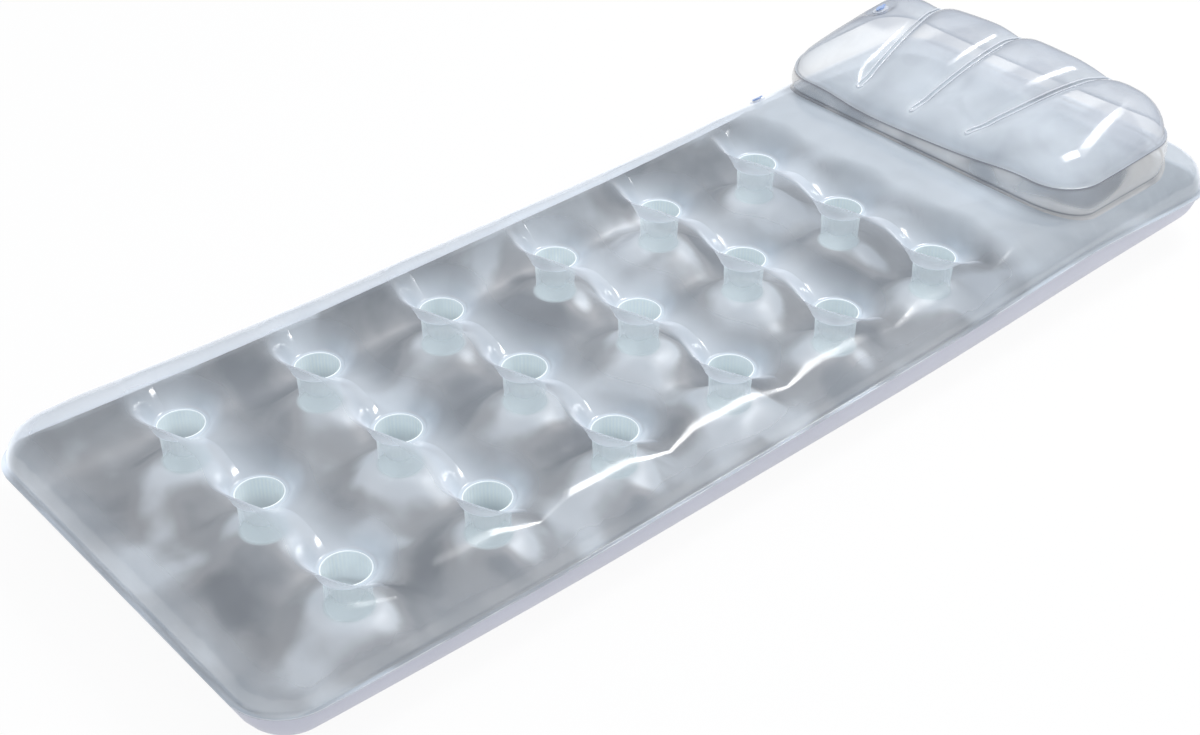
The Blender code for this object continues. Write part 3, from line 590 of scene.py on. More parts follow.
def mat_patches(circles, side_steps, end_steps, radial_steps, margin_steps, roll):
    """Plan of a whole film: pocket cells, a plain shoulder, straight margins and corner fans."""
    cell = pocket_cell(circles, side_steps, end_steps, radial_steps)
    patches = [cell + pocket for pocket in POCKETS]
    xs = np.linspace(-BLOCK_X, BLOCK_X, 3 * end_steps + 1)
    shoulder = np.linspace(BLOCK_Y, BLOCK_HEAD_Y, 2 * side_steps)
    patches.append(np.stack(np.meshgrid(xs, shoulder), axis=-1))
    rows = [row + dense_middle(ROW_PITCH / 2, side_steps)[:-1] for row in ROW_YS]
    ys = np.concatenate(rows + [shoulder])
    side = arch_insets(HALF_X - BLOCK_X, roll, margin_steps)
    end = arch_insets(HALF_Y - BLOCK_HEAD_Y, roll, margin_steps)
    for sign in (1, -1):
        strip = np.stack(np.meshgrid(HALF_X - side, ys[::sign], indexing="ij"), axis=-1)
        patches.append(strip * (sign, 1))
        share, across = np.meshgrid(1 - end / end[-1], xs[::-sign], indexing="ij")
        along = BLOCK_HEAD_Y + (end_outline(across) - BLOCK_HEAD_Y) * share
        patches.append(np.stack([across, sign * along], axis=-1))
    fan = corner_fan(BLOCK_X, BLOCK_HEAD_Y, HALF_X, HALF_Y, CORNER_RADIUS, side, end)
    return patches + four_corners(fan)


def end_outline(x):
    """Place of the mat's end along Y: the straight end, drawn in along the corner's arc."""
    over = np.clip(np.abs(x) - (HALF_X - CORNER_RADIUS), 0, CORNER_RADIUS)
    return HALF_Y - CORNER_RADIUS + np.sqrt(CORNER_RADIUS ** 2 - over ** 2)


def corner_fan(inner_x, inner_y, half_x, half_y, radius, side, end):
    """Rays from an inner corner to the rounded outer one, with insets blended round the turn."""
    last = math.acos(max(inner_x - (half_x - radius), 0.0) / radius)
    turn = np.linspace(0, last, 13)
    outer = np.concatenate(
        [[(half_x, inner_y)], arc(half_x - radius, half_y - radius, radius, turn)])
    blend = np.linspace(0, 1, len(outer))
    inner = np.array([inner_x, inner_y])
    share_side = 1 - side / side[-1]
    share_end = 1 - end / end[-1]
    share = share_side[:, None] * (1 - blend) + share_end[:, None] * blend
    return inner + (outer - inner)[None] * share[..., None]


def four_corners(fan):
    """A corner's patch mirrored to all four corners, with its faces kept facing up."""
    return [fan[:, ::sign_x * sign_y] * (sign_x, sign_y)
            for sign_x in (1, -1) for sign_y in (1, -1)]


def lifted(patches, height):
    """Give each plan point its height."""
    return [np.concatenate([p, height(p[..., 0], p[..., 1])[..., None]], axis=-1)
            for p in patches]


# Material helpers

class Nodes:
    """A node tree with short calls for its nodes."""

    def __init__(self, tree):
        self.tree = tree

    def feed(self, socket, value):
        """Link another node's output to a socket, or set the socket's own value."""
        if isinstance(value, bpy.types.NodeSocket):
            self.tree.links.new(value, socket)
        else:
            socket.default_value = value

    def node(self, kind, inputs=None, **settings):
        item = self.tree.nodes.new(kind)
        for key, value in settings.items():
            setattr(item, key, value)
        for key, value in (inputs or {}).items():
            self.feed(item.inputs[key], value)
        return item

    def math(self, operation, *values, clamp=False):
        return self.node("ShaderNodeMath", dict(enumerate(values)), operation=operation,
                         use_clamp=clamp).outputs[0]

    def ramp(self, value, stops, interpolation="EASE"):
        item = self.node("ShaderNodeValToRGB", {"Fac": value})
        item.color_ramp.interpolation = interpolation
        elements = item.color_ramp.elements
        while len(elements) < len(stops):
            elements.new(0.5)
        for element, (place, colour) in zip(elements, stops):
            element.position = place
            element.color = (*colour, 1.0)
        return item.outputs["Color"]

    def mix_shaders(self, factor, first, second):
        return self.node("ShaderNodeMixShader", {0: factor, 1: first, 2: second}).outputs[0]


class Shader(Nodes):
    """A material's node tree, with the nodes that only materials need."""

    def __init__(self, name):
        self.material = bpy.data.materials.new(name)
        self.material.use_nodes = True
        super().__init__(self.material.node_tree)
        self.principled = self.tree.nodes["Principled BSDF"]
        self.place = self.node("ShaderNodeTexCoord").outputs["Object"]

    def set(self, **values):
        """Feed the main shader's sockets, whose names are given with underscores."""
        for key, value in values.items():
            self.feed(self.principled.inputs[key.replace("_", " ")], value)

    def noise(self, scale, detail=2.0, roughness=0.5, distortion=0.0):
        return self.node("ShaderNodeTexNoise", {
            "Vector": self.place, "Scale": scale, "Detail": detail, "Roughness": roughness,
            "Distortion": distortion}).outputs["Fac"]

    def blend(self, factor, first, second):
        item = self.node("ShaderNodeMix", data_type="RGBA")
        self.feed(item.inputs[0], factor)
        for socket, colour in ((item.inputs[6], first), (item.inputs[7], second)):
            linked = isinstance(colour, bpy.types.NodeSocket)
            self.feed(socket, colour if linked else (*colour, 1.0))
        return item.outputs[2]

    def attribute(self, name):
        return self.node("ShaderNodeAttribute", attribute_name=name).outputs["Fac"]

    def facing(self, blend):
        return self.node("ShaderNodeLayerWeight", {"Blend": blend}).outputs["Facing"]

    def backfacing(self):
        return self.node("ShaderNodeNewGeometry").outputs["Backfacing"]

    def bump(self, height, strength, distance):
        return self.node("ShaderNodeBump", {
            "Strength": strength, "Distance": distance, "Height": height}).outputs["Normal"]


def scaled(colour, gain, lift=0.0):
    """Each channel of a colour times a gain plus a lift, and at most 1."""
    return tuple(min(channel * gain + lift, 1.0) for channel in colour)


def clear_film_material(name, tint, haze, steep, rim_colour, cloud=0.18, rim_share=0.45,
                        rim_power=5.0, ior=2.5, rim_ior=2.5):
    """Clear vinyl: a bluish haze that thickens where the film is pulled or seen edge on, with a
    painted glow along the far edge and on the back of the pulled film.
    """
    shader = Shader(name)
    stretch = shader.attribute("stretch")
    shade = shader.attribute("shade")
    rim = shader.math("POWER", shader.facing(0.5), rim_power)
    steep_wall = shader.math("MULTIPLY", shader.backfacing(), stretch)

    alpha = shader.math("MULTIPLY_ADD", stretch, 0.50, haze - cloud / 2)
    alpha = shader.math("MULTIPLY_ADD", shader.noise(7.0, 2.0, 0.5, 0.8), cloud, alpha)
    alpha = shader.math("MULTIPLY_ADD", shader.facing(0.22), steep, alpha)
    alpha = shader.math("MULTIPLY_ADD", shade, 0.62, alpha)
    alpha = shader.math("MULTIPLY_ADD", rim, rim_share, alpha, clamp=True)
    alpha = shader.math("MULTIPLY_ADD", steep_wall, 0.15, alpha)
    alpha = shader.math("MINIMUM", alpha, 0.93)

    colour = shader.blend(stretch, tint, scaled(tint, 1.10, 0.05))
    drift = shader.math("MULTIPLY_ADD", shader.noise(11.0, 2.0, 0.5, 1.2), 3.0, -1.45, clamp=True)
    colour = shader.blend(shader.math("MULTIPLY", drift, cloud), colour, scaled(tint, 0.72))
    # Painted dark reflections and shade: darker film where the shade measure is high
    colour = shader.blend(shade, colour, (0.30, 0.33, 0.39))
    # Colour seen edge on: pale on the mat's film, a painted dark edge on the pillow
    colour = shader.blend(rim, colour, rim_colour)

    # Painted glow: emission along the far edge and where the back of the pulled film is seen,
    # standing in for light through the film
    glow = shader.math("MULTIPLY_ADD", steep_wall, 0.60, shader.attribute("glow"))
    shader.set(
        Base_Color=colour, Alpha=alpha,
        Roughness=shader.math("MULTIPLY_ADD", shader.noise(13.0, 1.0), 0.30, -0.02),
        IOR=shader.math("MULTIPLY_ADD", rim, rim_ior - ior, ior),
        Emission_Color=(0.86, 0.91, 1.0, 1.0),
        Emission_Strength=shader.math("MULTIPLY", glow, 0.38),
        Normal=shader.bump(shader.noise(90.0, 3.0), 0.10, 0.0006))
    return shader.material


def band_material(tint):
    """Pillow band: greyer clear film with a darker line along each weld."""
    shader = Shader("pillow_band_film")
    edge = shader.attribute("edge")
    alpha = shader.math("MULTIPLY_ADD", shader.noise(16.0, 2.0), 0.25, 0.28)
    alpha = shader.math("MULTIPLY_ADD", edge, 0.40, alpha, clamp=True)
    fade = shader.math("MULTIPLY_ADD", shader.backfacing(), -0.80, 1.0)
    # Painted glints: lighter and darker patches from noise along the band
    colour = shader.ramp(
        shader.noise(9.0, 1.0, 0.4, 0.3), ((0.40, (0.26, 0.27, 0.29)), (0.54, tint)))
    shader.set(
        Base_Color=shader.blend(edge, colour, (0.16, 0.17, 0.20)), Roughness=0.16, IOR=1.8,
        Alpha=shader.math("MULTIPLY", alpha, fade))
    return shader.material


def silver_inside_material(colours):
    """Silver film seen through the clear one: soft blotches of dark, warm and pale grey, painted
    reflections of the room.
    """
    shader = Shader("silver_inside")
    large = shader.noise(7.0, 1.5, 0.45, 0.35)
    small = shader.noise(20.0, 2.0, 0.5)
    mixed = shader.math("MULTIPLY_ADD", small, 0.12, shader.math("MULTIPLY", large, 0.92))
    # Painted light: paler silver on the hills round each floor, hiding their shade
    mixed = shader.math("MULTIPLY_ADD", shader.attribute("painted_light_near_floor"), 0.10, mixed)
    # Painted sheen: a pale spot beside each floor and two at the foot
    mixed = shader.math("MULTIPLY_ADD", shader.attribute("painted_sheen"), 0.18, mixed)
    # Painted reflections: blotches of dark, warm and pale grey
    colour = shader.ramp(mixed, (
        (0.40, colours.silver_reflection_dark), (0.53, colours.silver_reflection_warm), (0.68, colours.silver_reflection_pale)))
    floor = shader.attribute("floor")
    crumple = shader.math("MULTIPLY", shader.noise(260.0, 2.0), floor)
    shader.set(
        Base_Color=shader.blend(floor, colour, (0.68, 0.75, 0.76)), Metallic=0.62,
        Roughness=0.50, Normal=shader.bump(crumple, 0.5, 0.0006))
    return shader.material


def silver_outside_material(colours):
    """Outside of the silver film: even satin lavender grey."""
    shader = Shader("silver_outside")
    grey = colours.silver_outside
    shader.set(
        Base_Color=shader.blend(shader.noise(12.0, 2.0), grey, scaled(grey, 1.10)),
        Metallic=0.35, Roughness=0.38,
        Normal=shader.bump(shader.noise(140.0, 2.0), 0.12, 0.0005))
    return shader.material


def pocket_material(colours):
    """Pocket wall: milky pale blue film with upright streaks, clearer from its outer side, with a
    painted glow that is stronger on the bead.
    """
    shader = Shader("pocket_film")
    mouth = shader.attribute("depth")
    back = shader.backfacing()
    soft = shader.math("POWER", shader.facing(0.5), 1.6)
    inside = shader.math("MULTIPLY_ADD", mouth, 0.34, 0.50)
    inside = shader.math("MULTIPLY", inside, shader.math("SUBTRACT", 1.0, back))
    outside = shader.math("MULTIPLY_ADD", mouth, 0.22, 0.24)
    outside = shader.math("MULTIPLY", outside, shader.math("MULTIPLY_ADD", soft, -0.85, 1.0))
    outside = shader.math("MULTIPLY", outside, back)
    bead = shader.math("MULTIPLY", shader.attribute("bead"), 0.8)
    colour = shader.blend(shader.attribute("pleat"), colours.pocket, (0.86, 0.93, 0.93))
    shader.set(
        Base_Color=shader.blend(bead, colour, (0.97, 0.99, 1.0)), Roughness=0.22, IOR=1.7,
        Alpha=shader.math("MAXIMUM", shader.math("ADD", inside, outside), bead),
        # Painted glow: the walls give off a faint light, more on the bead, standing in for light
        # through the film
        Emission_Color=(0.80, 0.93, 0.94, 1.0),
        Emission_Strength=shader.math("MULTIPLY_ADD", bead, 0.20, 0.14))
    return shader.material


def weld_material():
    """Heat weld: thicker clear vinyl that catches the light, one material for all the welds."""
    made = bpy.data.materials.get("weld_bead")
    if made:
        return made
    shader = Shader("weld_bead")
    shader.set(
        Base_Color=(0.88, 0.92, 0.98, 1.0), Roughness=0.14, IOR=1.8, Alpha=0.62,
        Normal=shader.bump(shader.noise(400.0, 2.0), 0.2, 0.0003))
    return shader.material


def valve_material(colours):
    """Soft pale blue plastic, a little see-through."""
    shader = Shader("valve_plastic")
    cloud = shader.noise(300.0, 2.0)
    shader.set(
        Base_Color=shader.blend(cloud, colours.valve, scaled(colours.valve, 1.15)),
        Roughness=0.22, Alpha=0.82, Normal=shader.bump(cloud, 0.15, 0.0003))
    return shader.material


def film_marks(count, stretch=0.0, shade=0.0, glow=0.0):
    """The three measures that the clear film's material reads, with a value for each point."""
    measures = {"stretch": stretch, "shade": shade, "glow": glow}
    return {name: np.broadcast_to(value, (count,)) for name, value in measures.items()}


# Pieces of the mat

class LOUNGE_OT_bottom_film(bpy.types.Operator):
    """Silver film that lies on the ground and is the floor of every pocket."""

    bl_idname = "lounge.bottom_film"
    bl_label = "Bottom film"

    def execute(self, context):
        film = context.scene.lounge_film
        colours = context.scene.lounge_colours
        circles = (0.0, 0.010, 0.020, 0.028, 0.031, 0.034)
        plan = mat_patches(circles, side_steps=14, end_steps=12, radial_steps=10,
                           margin_steps=14, roll=film.bottom_roll)
        patches = lifted(plan, lambda x, y: bottom_film_height(x, y, film))

        def attributes(points):
            x, y, _ = points.T
            distance = np.hypot(x[:, None] - POCKETS[:, 0], y[:, None] - POCKETS[:, 1]).min(axis=1)
            # Painted light: paler hills round the floors and a painted sheen spot beside each one
            return {"floor": 1 - ease((distance - 0.029) / 0.006),
                    "painted_light_near_floor": 1 - ease((distance - FLOOR_LAND) / 0.040),
                    "painted_sheen": painted_sheen_spots(x, y)}

        piece = make_piece(
            "bottom_film", patches,
            [silver_outside_material(colours), silver_inside_material(colours)],
            flip=True, attributes=attributes)
        wall = piece.modifiers.new("wall", "SOLIDIFY")
        wall.thickness = FILM_THICKNESS
        wall.offset = -1
        wall.material_offset = 1
        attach(piece, "lounge")
        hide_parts("bottom_sheet")
        return {"FINISHED"}


class LOUNGE_OT_top_film(bpy.types.Operator):
    """Clear film drawn down into a funnel at every pocket."""

    bl_idname = "lounge.top_film"
    bl_label = "Top film"

    def execute(self, context):
        film = context.scene.lounge_film
        pocket = context.scene.lounge_pocket
        colours = context.scene.lounge_colours
        circles = (pocket.ring_radius, 0.0335, RING_LAND)
        plan = mat_patches(circles, side_steps=26, end_steps=20, radial_steps=18,
                           margin_steps=22, roll=film.top_roll)
        patches = lifted(plan, lambda x, y: top_film_height(x, y, film))

        def attributes(points):
            x, y, _ = points.T
            pull = pocket_pull(x, y, 0.060, 0.046)
            plain = 0.80 * ease((y - ROW_YS[5]) / 0.06) * (1 - 0.30 * ease((x - 0.20) / 0.06))
            edge = 1 - ease(mat_inset(x, y) / 0.06)
            far = ease((-x - 0.24) / 0.05)
            foot = ease((-y - 0.82) / 0.05)
            rim = (0.34 + 0.50 * far + 0.36 * foot) * edge
            veil = np.maximum.reduce([0.80 * row_veil(x, y), plain, rim])
            # glow is a painted glow along the far edge
            return film_marks(len(x), stretch=pull + (1 - pull) * veil, glow=far * edge)

        finish = clear_film_material(
            "clear_film", colours.clear, haze=0.23, steep=0.28, rim_colour=(0.90, 0.93, 1.0))
        piece = make_piece("top_film", patches, [finish], attributes=attributes)
        open_hole(piece, SEATS["mat"])
        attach(piece, "lounge")
        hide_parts("top_sheet")
        return {"FINISHED"}


class LOUNGE_OT_seam(bpy.types.Operator):
    """Welded rim where the two films meet."""

    bl_idname = "lounge.seam"
    bl_label = "Edge seam"

    def execute(self, context):
        film = context.scene.lounge_film
        step, inset = 0.004, 0.0005
        loop = edge_loop(HALF_X - inset, HALF_Y - inset, CORNER_RADIUS, step)
        height = seam_height(loop[:, 1], film) + end_lift(loop[:, 1]) + FILM_THICKNESS
        path = np.column_stack([loop, height])
        travel = step * np.arange(len(loop))
        sparkle = np.clip(0.4 + waver(travel * 0.35, 41) + 0.3 * waver(travel, 43), 0, 1)
        piece = make_piece(
            "edge_seam", [tube_along(path, 0.0003 + 0.0005 * sparkle, 6)], [weld_material()])
        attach(piece, "lounge")
        return {"FINISHED"}


class LOUNGE_OT_pockets(bpy.types.Operator):
    """Eighteen pleated walls between the films, each with a rolled bead at its mouth."""

    bl_idname = "lounge.pockets"
    bl_label = "Pocket walls"

    def execute(self, context):
        film = context.scene.lounge_film
        pocket = context.scene.lounge_pocket
        finish = pocket_material(context.scene.lounge_colours)
        draw = np.random.default_rng(23)
        for name, (px, py) in zip(POCKET_NAMES, POCKETS):
            patch, marks = pocket_wall(px, py, film, pocket, draw)
            piece = make_piece(name.replace("tube", "wall"), [patch], [finish], marks=marks)
            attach(piece, "lounge")
            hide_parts(name)
        return {"FINISHED"}


def pocket_profile(ring, floor, pocket):
    """Radius and height down a wall: flange, bead, a sine to the waist, an eased foot, flange."""
    radius, bottom, waist = pocket.ring_radius, pocket.floor_radius, pocket.waist_radius
    bead = pocket.bead_height
    mouth = [
        (radius + pocket.weld_width, ring - 0.0007), (radius + 0.0010, ring - 0.0005),
        (radius + 0.0004, ring + bead * 0.6), (radius - 0.0003, ring + bead),
        (radius - 0.0009, ring + bead * 0.5), (radius - 0.0011, ring - bead),
    ]
    depth = np.linspace(0.04, 0.97, 16)
    top, low = ring - bead, floor + 0.0012
    upper = radius - 0.0012 - (radius - 0.0012 - waist) * np.sin(depth * math.pi / 2)
    lower = waist + (bottom - 0.0004 - waist) * ease((depth - 0.6) / 0.4)
    wall = np.column_stack([np.where(depth > 0.6, lower, upper), top + (low - top) * depth])
    foot = [(bottom + 0.0004, floor + 0.0007), (bottom + 0.2 * pocket.weld_width, floor + 0.0006)]
    return np.concatenate([mouth, wall, foot])


def pocket_wall(px, py, film, pocket, draw):
    """Profile turned about a pocket's middle, with pleats that come and go with the angle."""
    lift = float(end_lift(py))
    ring = film.ring_height + lift
    floor = film.floor_height + lift
    profile = pocket_profile(ring, floor, pocket)
    angle = np.linspace(0, 2 * math.pi, 4 * pocket.pleat_count + 1)
    phase = draw.uniform(0, 2 * math.pi, 4)
    strength = 0.6 + 0.4 * np.sin(3 * angle + phase[0]) * np.sin(2 * angle + phase[1])
    drift = 0.5 * np.sin(4 * angle + phase[2]) + 0.35 * np.sin(7 * angle + phase[3])
    pleats = np.cos(pocket.pleat_count * angle + drift) * strength
    pleats[-1] = pleats[0]
    along = (profile[:, 1:] - floor) / (ring - floor)
    window = ease((along - 0.25) / 0.35) * (1 - ease((along - 0.96) / 0.04))
    window[:4] = 0
    reach = profile[:, :1] + pocket.pleat_depth * window * pleats
    height = np.broadcast_to(profile[:, 1:], reach.shape)
    grid = np.concatenate([arc(px, py, reach, angle), height[..., None]], axis=-1)
    bead = np.zeros(reach.shape)
    bead[2:5] = 1.0
    depth = np.broadcast_to(ease((along - 0.15) / 0.65), reach.shape)
    streak = np.clip(0.5 - 0.5 * pleats, 0, 1) * window
    return grid, {"pleat": streak, "bead": bead, "depth": depth}


# Pieces of the pillow

def tie_distance(x, y):
    """Distance in plan to the nearest tie: to the point at the clipped share of its run."""
    distances = []
    for start, end in TIE_ENDS:
        run = end - start
        share = ((x - start[0]) * run[0] + (y - start[1]) * run[1]) / run.dot(run)
        share = np.clip(share, 0, 1)
        distances.append(
            np.hypot(x - start[0] - run[0] * share, y - start[1] - run[1] * share))
    return np.minimum.reduce(distances)


def pillow_edge(x, y, film, pillow):
    """Top edge of the band: crown, band, lift, rises at the ends and corners, less the lean."""
    front = 1 - ease((y - PILLOW_FRONT_Y) / 0.12)
    corner = bell(np.abs(x) - 0.20, 0.07) * front
    leaning = ease((0.16 - x) / 0.30) * front
    return (film.crown_height + pillow.band_height + end_lift(y)
            + pillow.end_rise * (x / PILLOW_HALF_X) ** 2 + pillow.corner_rise * corner
            - pillow.lean * leaning)


def pillow_height(x, y, film, pillow):
    """Edge plus a quarter arch that grows towards the back, less a groove over each tie."""
    inset = rounded_inset(x, y - PILLOW_Y, PILLOW_HALF_X, PILLOW_HALF_Y, pillow.corner_radius)
    inset = inset - pillow.lip_width
    back = ease((y - PILLOW_FRONT_Y) / (2 * PILLOW_HALF_Y))
    share = pillow.front_share + (1 - pillow.front_share) * back
    share = share * (1 - pillow.cross_fall * (x / PILLOW_HALF_X) ** 2)
    share = share * (1 + pillow.swell * np.sin(math.pi * back))
    rise = pillow.rise * share * quarter_arch(inset, pillow.edge_roll)
    dip = pillow.groove_depth * (1 - quarter_arch(tie_distance(x, y), pillow.groove_width))
    dip = dip * ease(inset / pillow.groove_width)
    height = pillow_edge(x, y, film, pillow) + FILM_GAP + rise - dip
    return seated(x, y, height, SEATS["pillow"])


def pillow_columns(y, steps):
    """Places across the pillow at a depth: they follow the ties and crowd beside them."""
    block = PILLOW_HALF_X - PILLOW_MARGIN
    lines = [np.full_like(y, -block)]
    for front, back in TIE_ENDS:
        lines.append(front[0] + (back[0] - front[0]) * (y - front[1]) / (back[1] - front[1]))
    lines.append(np.full_like(y, block))
    share = (1 - np.cos(np.linspace(0, math.pi, steps + 1)[:-1])) / 2
    spans = [near[:, None] + (far - near)[:, None] * share
             for near, far in zip(lines, lines[1:])]
    return np.concatenate(spans + [lines[-1][:, None]], axis=1)


def pillow_patches(pillow):
    """Plan of the pillow: a middle that follows the ties, two margins and corner fans."""
    radius = PILLOW_MARGIN
    block_x, block_y = PILLOW_HALF_X - radius, PILLOW_HALF_Y - radius
    angles = np.linspace(0, math.pi / 2, 13)
    curve = pillow.lip_width + (radius - pillow.lip_width) * (1 - np.cos(angles))
    insets = np.concatenate([[0.0], curve])
    insets[-1] = radius
    middle = np.linspace(-block_y, block_y, 31)
    depth = np.concatenate(
        [-PILLOW_HALF_Y + insets[:-1], middle, PILLOW_HALF_Y - insets[-2::-1]])
    columns = pillow_columns(depth + PILLOW_Y, 22)
    patches = [np.stack([columns, np.broadcast_to(depth[:, None], columns.shape)], axis=-1)]
    for sign in (1, -1):
        across, along = np.meshgrid(PILLOW_HALF_X - insets, middle[::sign], indexing="ij")
        patches.append(np.stack([sign * across, along], axis=-1))
    fan = corner_fan(block_x, block_y, PILLOW_HALF_X, PILLOW_HALF_Y, radius, insets, insets)
    return [patch + (0, PILLOW_Y) for patch in patches + four_corners(fan)]


def cover_marks(points):
    """Measures of the pillow's top: pale grooves and front, grey patches on the lobes that are
    painted dark reflections, and a painted greyer shade over the back.
    """
    x, y, _ = points.T
    shade = np.zeros(len(points))
    for middle in (-0.210, -0.055, 0.105, 0.250):
        across = np.abs(x - middle - 0.3 * (y - 0.685))
        patch = (1 - ease((across - 0.030) / 0.020)) * (
            1 - ease((np.abs(y - 0.680) - 0.024) / 0.022))
        shade = np.maximum(shade, patch)
    front = 1 - ease((y - PILLOW_FRONT_Y - 0.05) / 0.12)
    back = ease((y - PILLOW_BACK_Y + 0.17) / 0.10)
    groove = bell(tie_distance(x, y), 0.012)
    return film_marks(
        len(points), stretch=np.maximum(0.6 * groove, 0.26 * front),
        shade=np.maximum(0.55 * shade, 0.34 * back))


def band_patch(film, pillow):
    """Band as rows round the pillow: foot, a wall that bulges by a sine, and lip."""
    loop = edge_loop(PILLOW_HALF_X, PILLOW_HALF_Y, pillow.corner_radius, 0.005)
    normal = heading(loop)[:, ::-1] * (1, -1)
    loop = loop + (0, PILLOW_Y)
    foot = loop + normal * BAND_FOOT
    lip = loop - normal * pillow.lip_width
    low = top_film_height(*loop.T, film) + 0.0004
    high = pillow_edge(*loop.T, film, pillow)
    rows = [np.column_stack([foot, top_film_height(*foot.T, film) + FILM_THICKNESS])]
    for share in (0, 0.03, 0.07, 0.12, 0.18, 0.3, 0.45, 0.6, 0.75, 0.87, 0.92, 0.96, 1):
        wall = loop + normal * BAND_BULGE * math.sin(share * math.pi)
        rows.append(np.column_stack([wall, low + (high - low) * share]))
    rows.append(np.column_stack([lip, pillow_edge(*lip.T, film, pillow)]))
    grid = np.stack(rows)
    return np.concatenate([grid, grid[:, :1]], axis=1)


class LOUNGE_OT_pillow(bpy.types.Operator):
    """Lobed top film on an upright band, with three ties and their weld beads."""

    bl_idname = "lounge.pillow"
    bl_label = "Pillow"

    def execute(self, context):
        film = context.scene.lounge_film
        pillow = context.scene.lounge_pillow
        colours = context.scene.lounge_colours
        # The near-black rim colour, with no reflection at the rim, is a painted dark edge round
        # the pillow
        finish = clear_film_material(
            "pillow_film", colours.pillow, haze=0.30, steep=0.22, rim_colour=(0.10, 0.11, 0.15),
            cloud=0.56, rim_share=0.90, rim_power=2.6, ior=2.1, rim_ior=1.0)
        inner = clear_film_material(
            "tie_film", colours.pillow, haze=0.05, steep=0.05, rim_colour=(0.60, 0.62, 0.70))

        def surface(x, y):
            return pillow_height(x, y, film, pillow)

        def welds(points):
            x, y, z = points.T
            top = pillow_edge(x, y, film, pillow)
            low = top_film_height(x, y, film)
            near = np.minimum(np.abs(z - top), np.abs(z - low - 0.003))
            return {"edge": bell(near, 0.0027)}

        top = make_piece(
            "pillow_cover", lifted(pillow_patches(pillow), surface), [finish],
            attributes=cover_marks)
        open_hole(top, SEATS["pillow"])
        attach(top, "lounge")
        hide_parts("pillow_top")

        band = make_piece(
            "pillow_wall", [band_patch(film, pillow)], [band_material(colours.band)],
            attributes=welds)
        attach(band, "lounge")
        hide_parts("pillow_band")

        for number, (front, back) in enumerate(TIE_ENDS, start=1):
            run = front + (back - front) * np.linspace(0, 1, 40)[:, None]
            low = top_film_height(*run.T, film) + FILM_THICKNESS
            high = surface(*run.T) - FILM_GAP
            web = np.stack([np.column_stack([run, low + (high - low) * share])
                            for share in np.linspace(0, 1, 8)])
            tie = make_piece(
                f"pillow_web_{number}", [web], [inner],
                attributes=lambda points: film_marks(len(points)))
            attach(tie, "lounge")
            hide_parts(f"pillow_tie_{number}")
            plan = stadium(front, back, TIE_WELD_REACH)
            path = np.column_stack([plan, surface(*plan.T) + TIE_WELD_LIFT])
            bead = make_piece(
                f"pillow_weld_{number}", [tube_along(path, TIE_WELD_RADIUS, 8)],
                [weld_material()])
            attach(bead, "lounge")
        return {"FINISHED"}


def stadium(front, back, radius):
    """Closed line at an even distance from a straight stretch, with half circles at its ends."""
    run = back - front
    turn = math.atan2(run[1], run[0])
    half = np.linspace(-math.pi / 2, math.pi / 2, 9)
    far = arc(*back, radius, turn + half)
    near = arc(*front, radius, turn + math.pi + half)
    share = np.linspace(0, 1, 40)[1:-1, None]
    left = far[-1] + (near[0] - far[-1]) * share
    right = near[-1] + (far[0] - near[-1]) * share
    return np.concatenate([far, left, near, right])


class LOUNGE_OT_valves(bpy.types.Operator):
    """Finish of the two air valves."""

    bl_idname = "lounge.valves"
    bl_label = "Valves"

    def execute(self, context):
        plastic = valve_material(context.scene.lounge_colours)
        weld = weld_material()
        for prefix in ("mat", "pillow"):
            for kind in ("base", "stem", "plug", "flap"):
                node = bpy.data.objects[f"{prefix}_valve_{kind}"]
                node.data.materials.clear()
                node.data.materials.append(weld if kind == "base" else plastic)
        return {"FINISHED"}


# Stage

class LOUNGE_OT_stage(bpy.types.Operator):
    """Pale floor, a room that grows lighter upwards, overhead soft lights and the camera."""

    bl_idname = "lounge.stage"
    bl_label = "Stage"

    def execute(self, context):
        stage = context.scene.lounge_stage
        scene = context.scene
        scene.view_settings.view_transform = "Standard"
        u = np.linspace(-9, 9, 5)
        plan = np.stack(np.meshgrid(u, u), axis=-1)
        level = lifted([plan], lambda x, y: np.full(x.shape, STUDIO_FLOOR_Z))
        floor = make_piece("studio_floor", level, [floor_material()])
        scene.world = studio_room(stage.world_strength)
        add_soft_light("key_light", (0.35, 1.80, 3.10), 0.46, 1.00, stage.key_power * 0.55)
        add_soft_light("key_halo", (0.35, 1.82, 3.13), 0.60, 1.5, stage.key_power * 0.20)
        fill = add_soft_light("key_fill", (0.35, 2.0, 3.2), 1.4, 1.4, stage.key_power)
        fill.visible_glossy = False
        scene.camera = studio_camera(stage)
        return {"FINISHED"}


def floor_material():
    """White floor that takes the mat's shadow and glows to the eye."""
    shader = Shader("studio_floor")
    shader.set(Base_Color=(0.90, 0.90, 0.91, 1.0), Roughness=0.9)
    rays = shader.node("ShaderNodeLightPath").outputs
    seen = shader.math("MAXIMUM", rays["Is Camera Ray"], rays["Is Glossy Ray"])
    seen = shader.math("MAXIMUM", seen, rays["Is Transmission Ray"])
    glow = shader.node("ShaderNodeEmission").outputs[0]
    both = shader.mix_shaders(
        shader.math("MULTIPLY", seen, 0.93), shader.principled.outputs[0], glow)
    shader.feed(shader.tree.nodes["Material Output"].inputs["Surface"], both)
    return shader.material


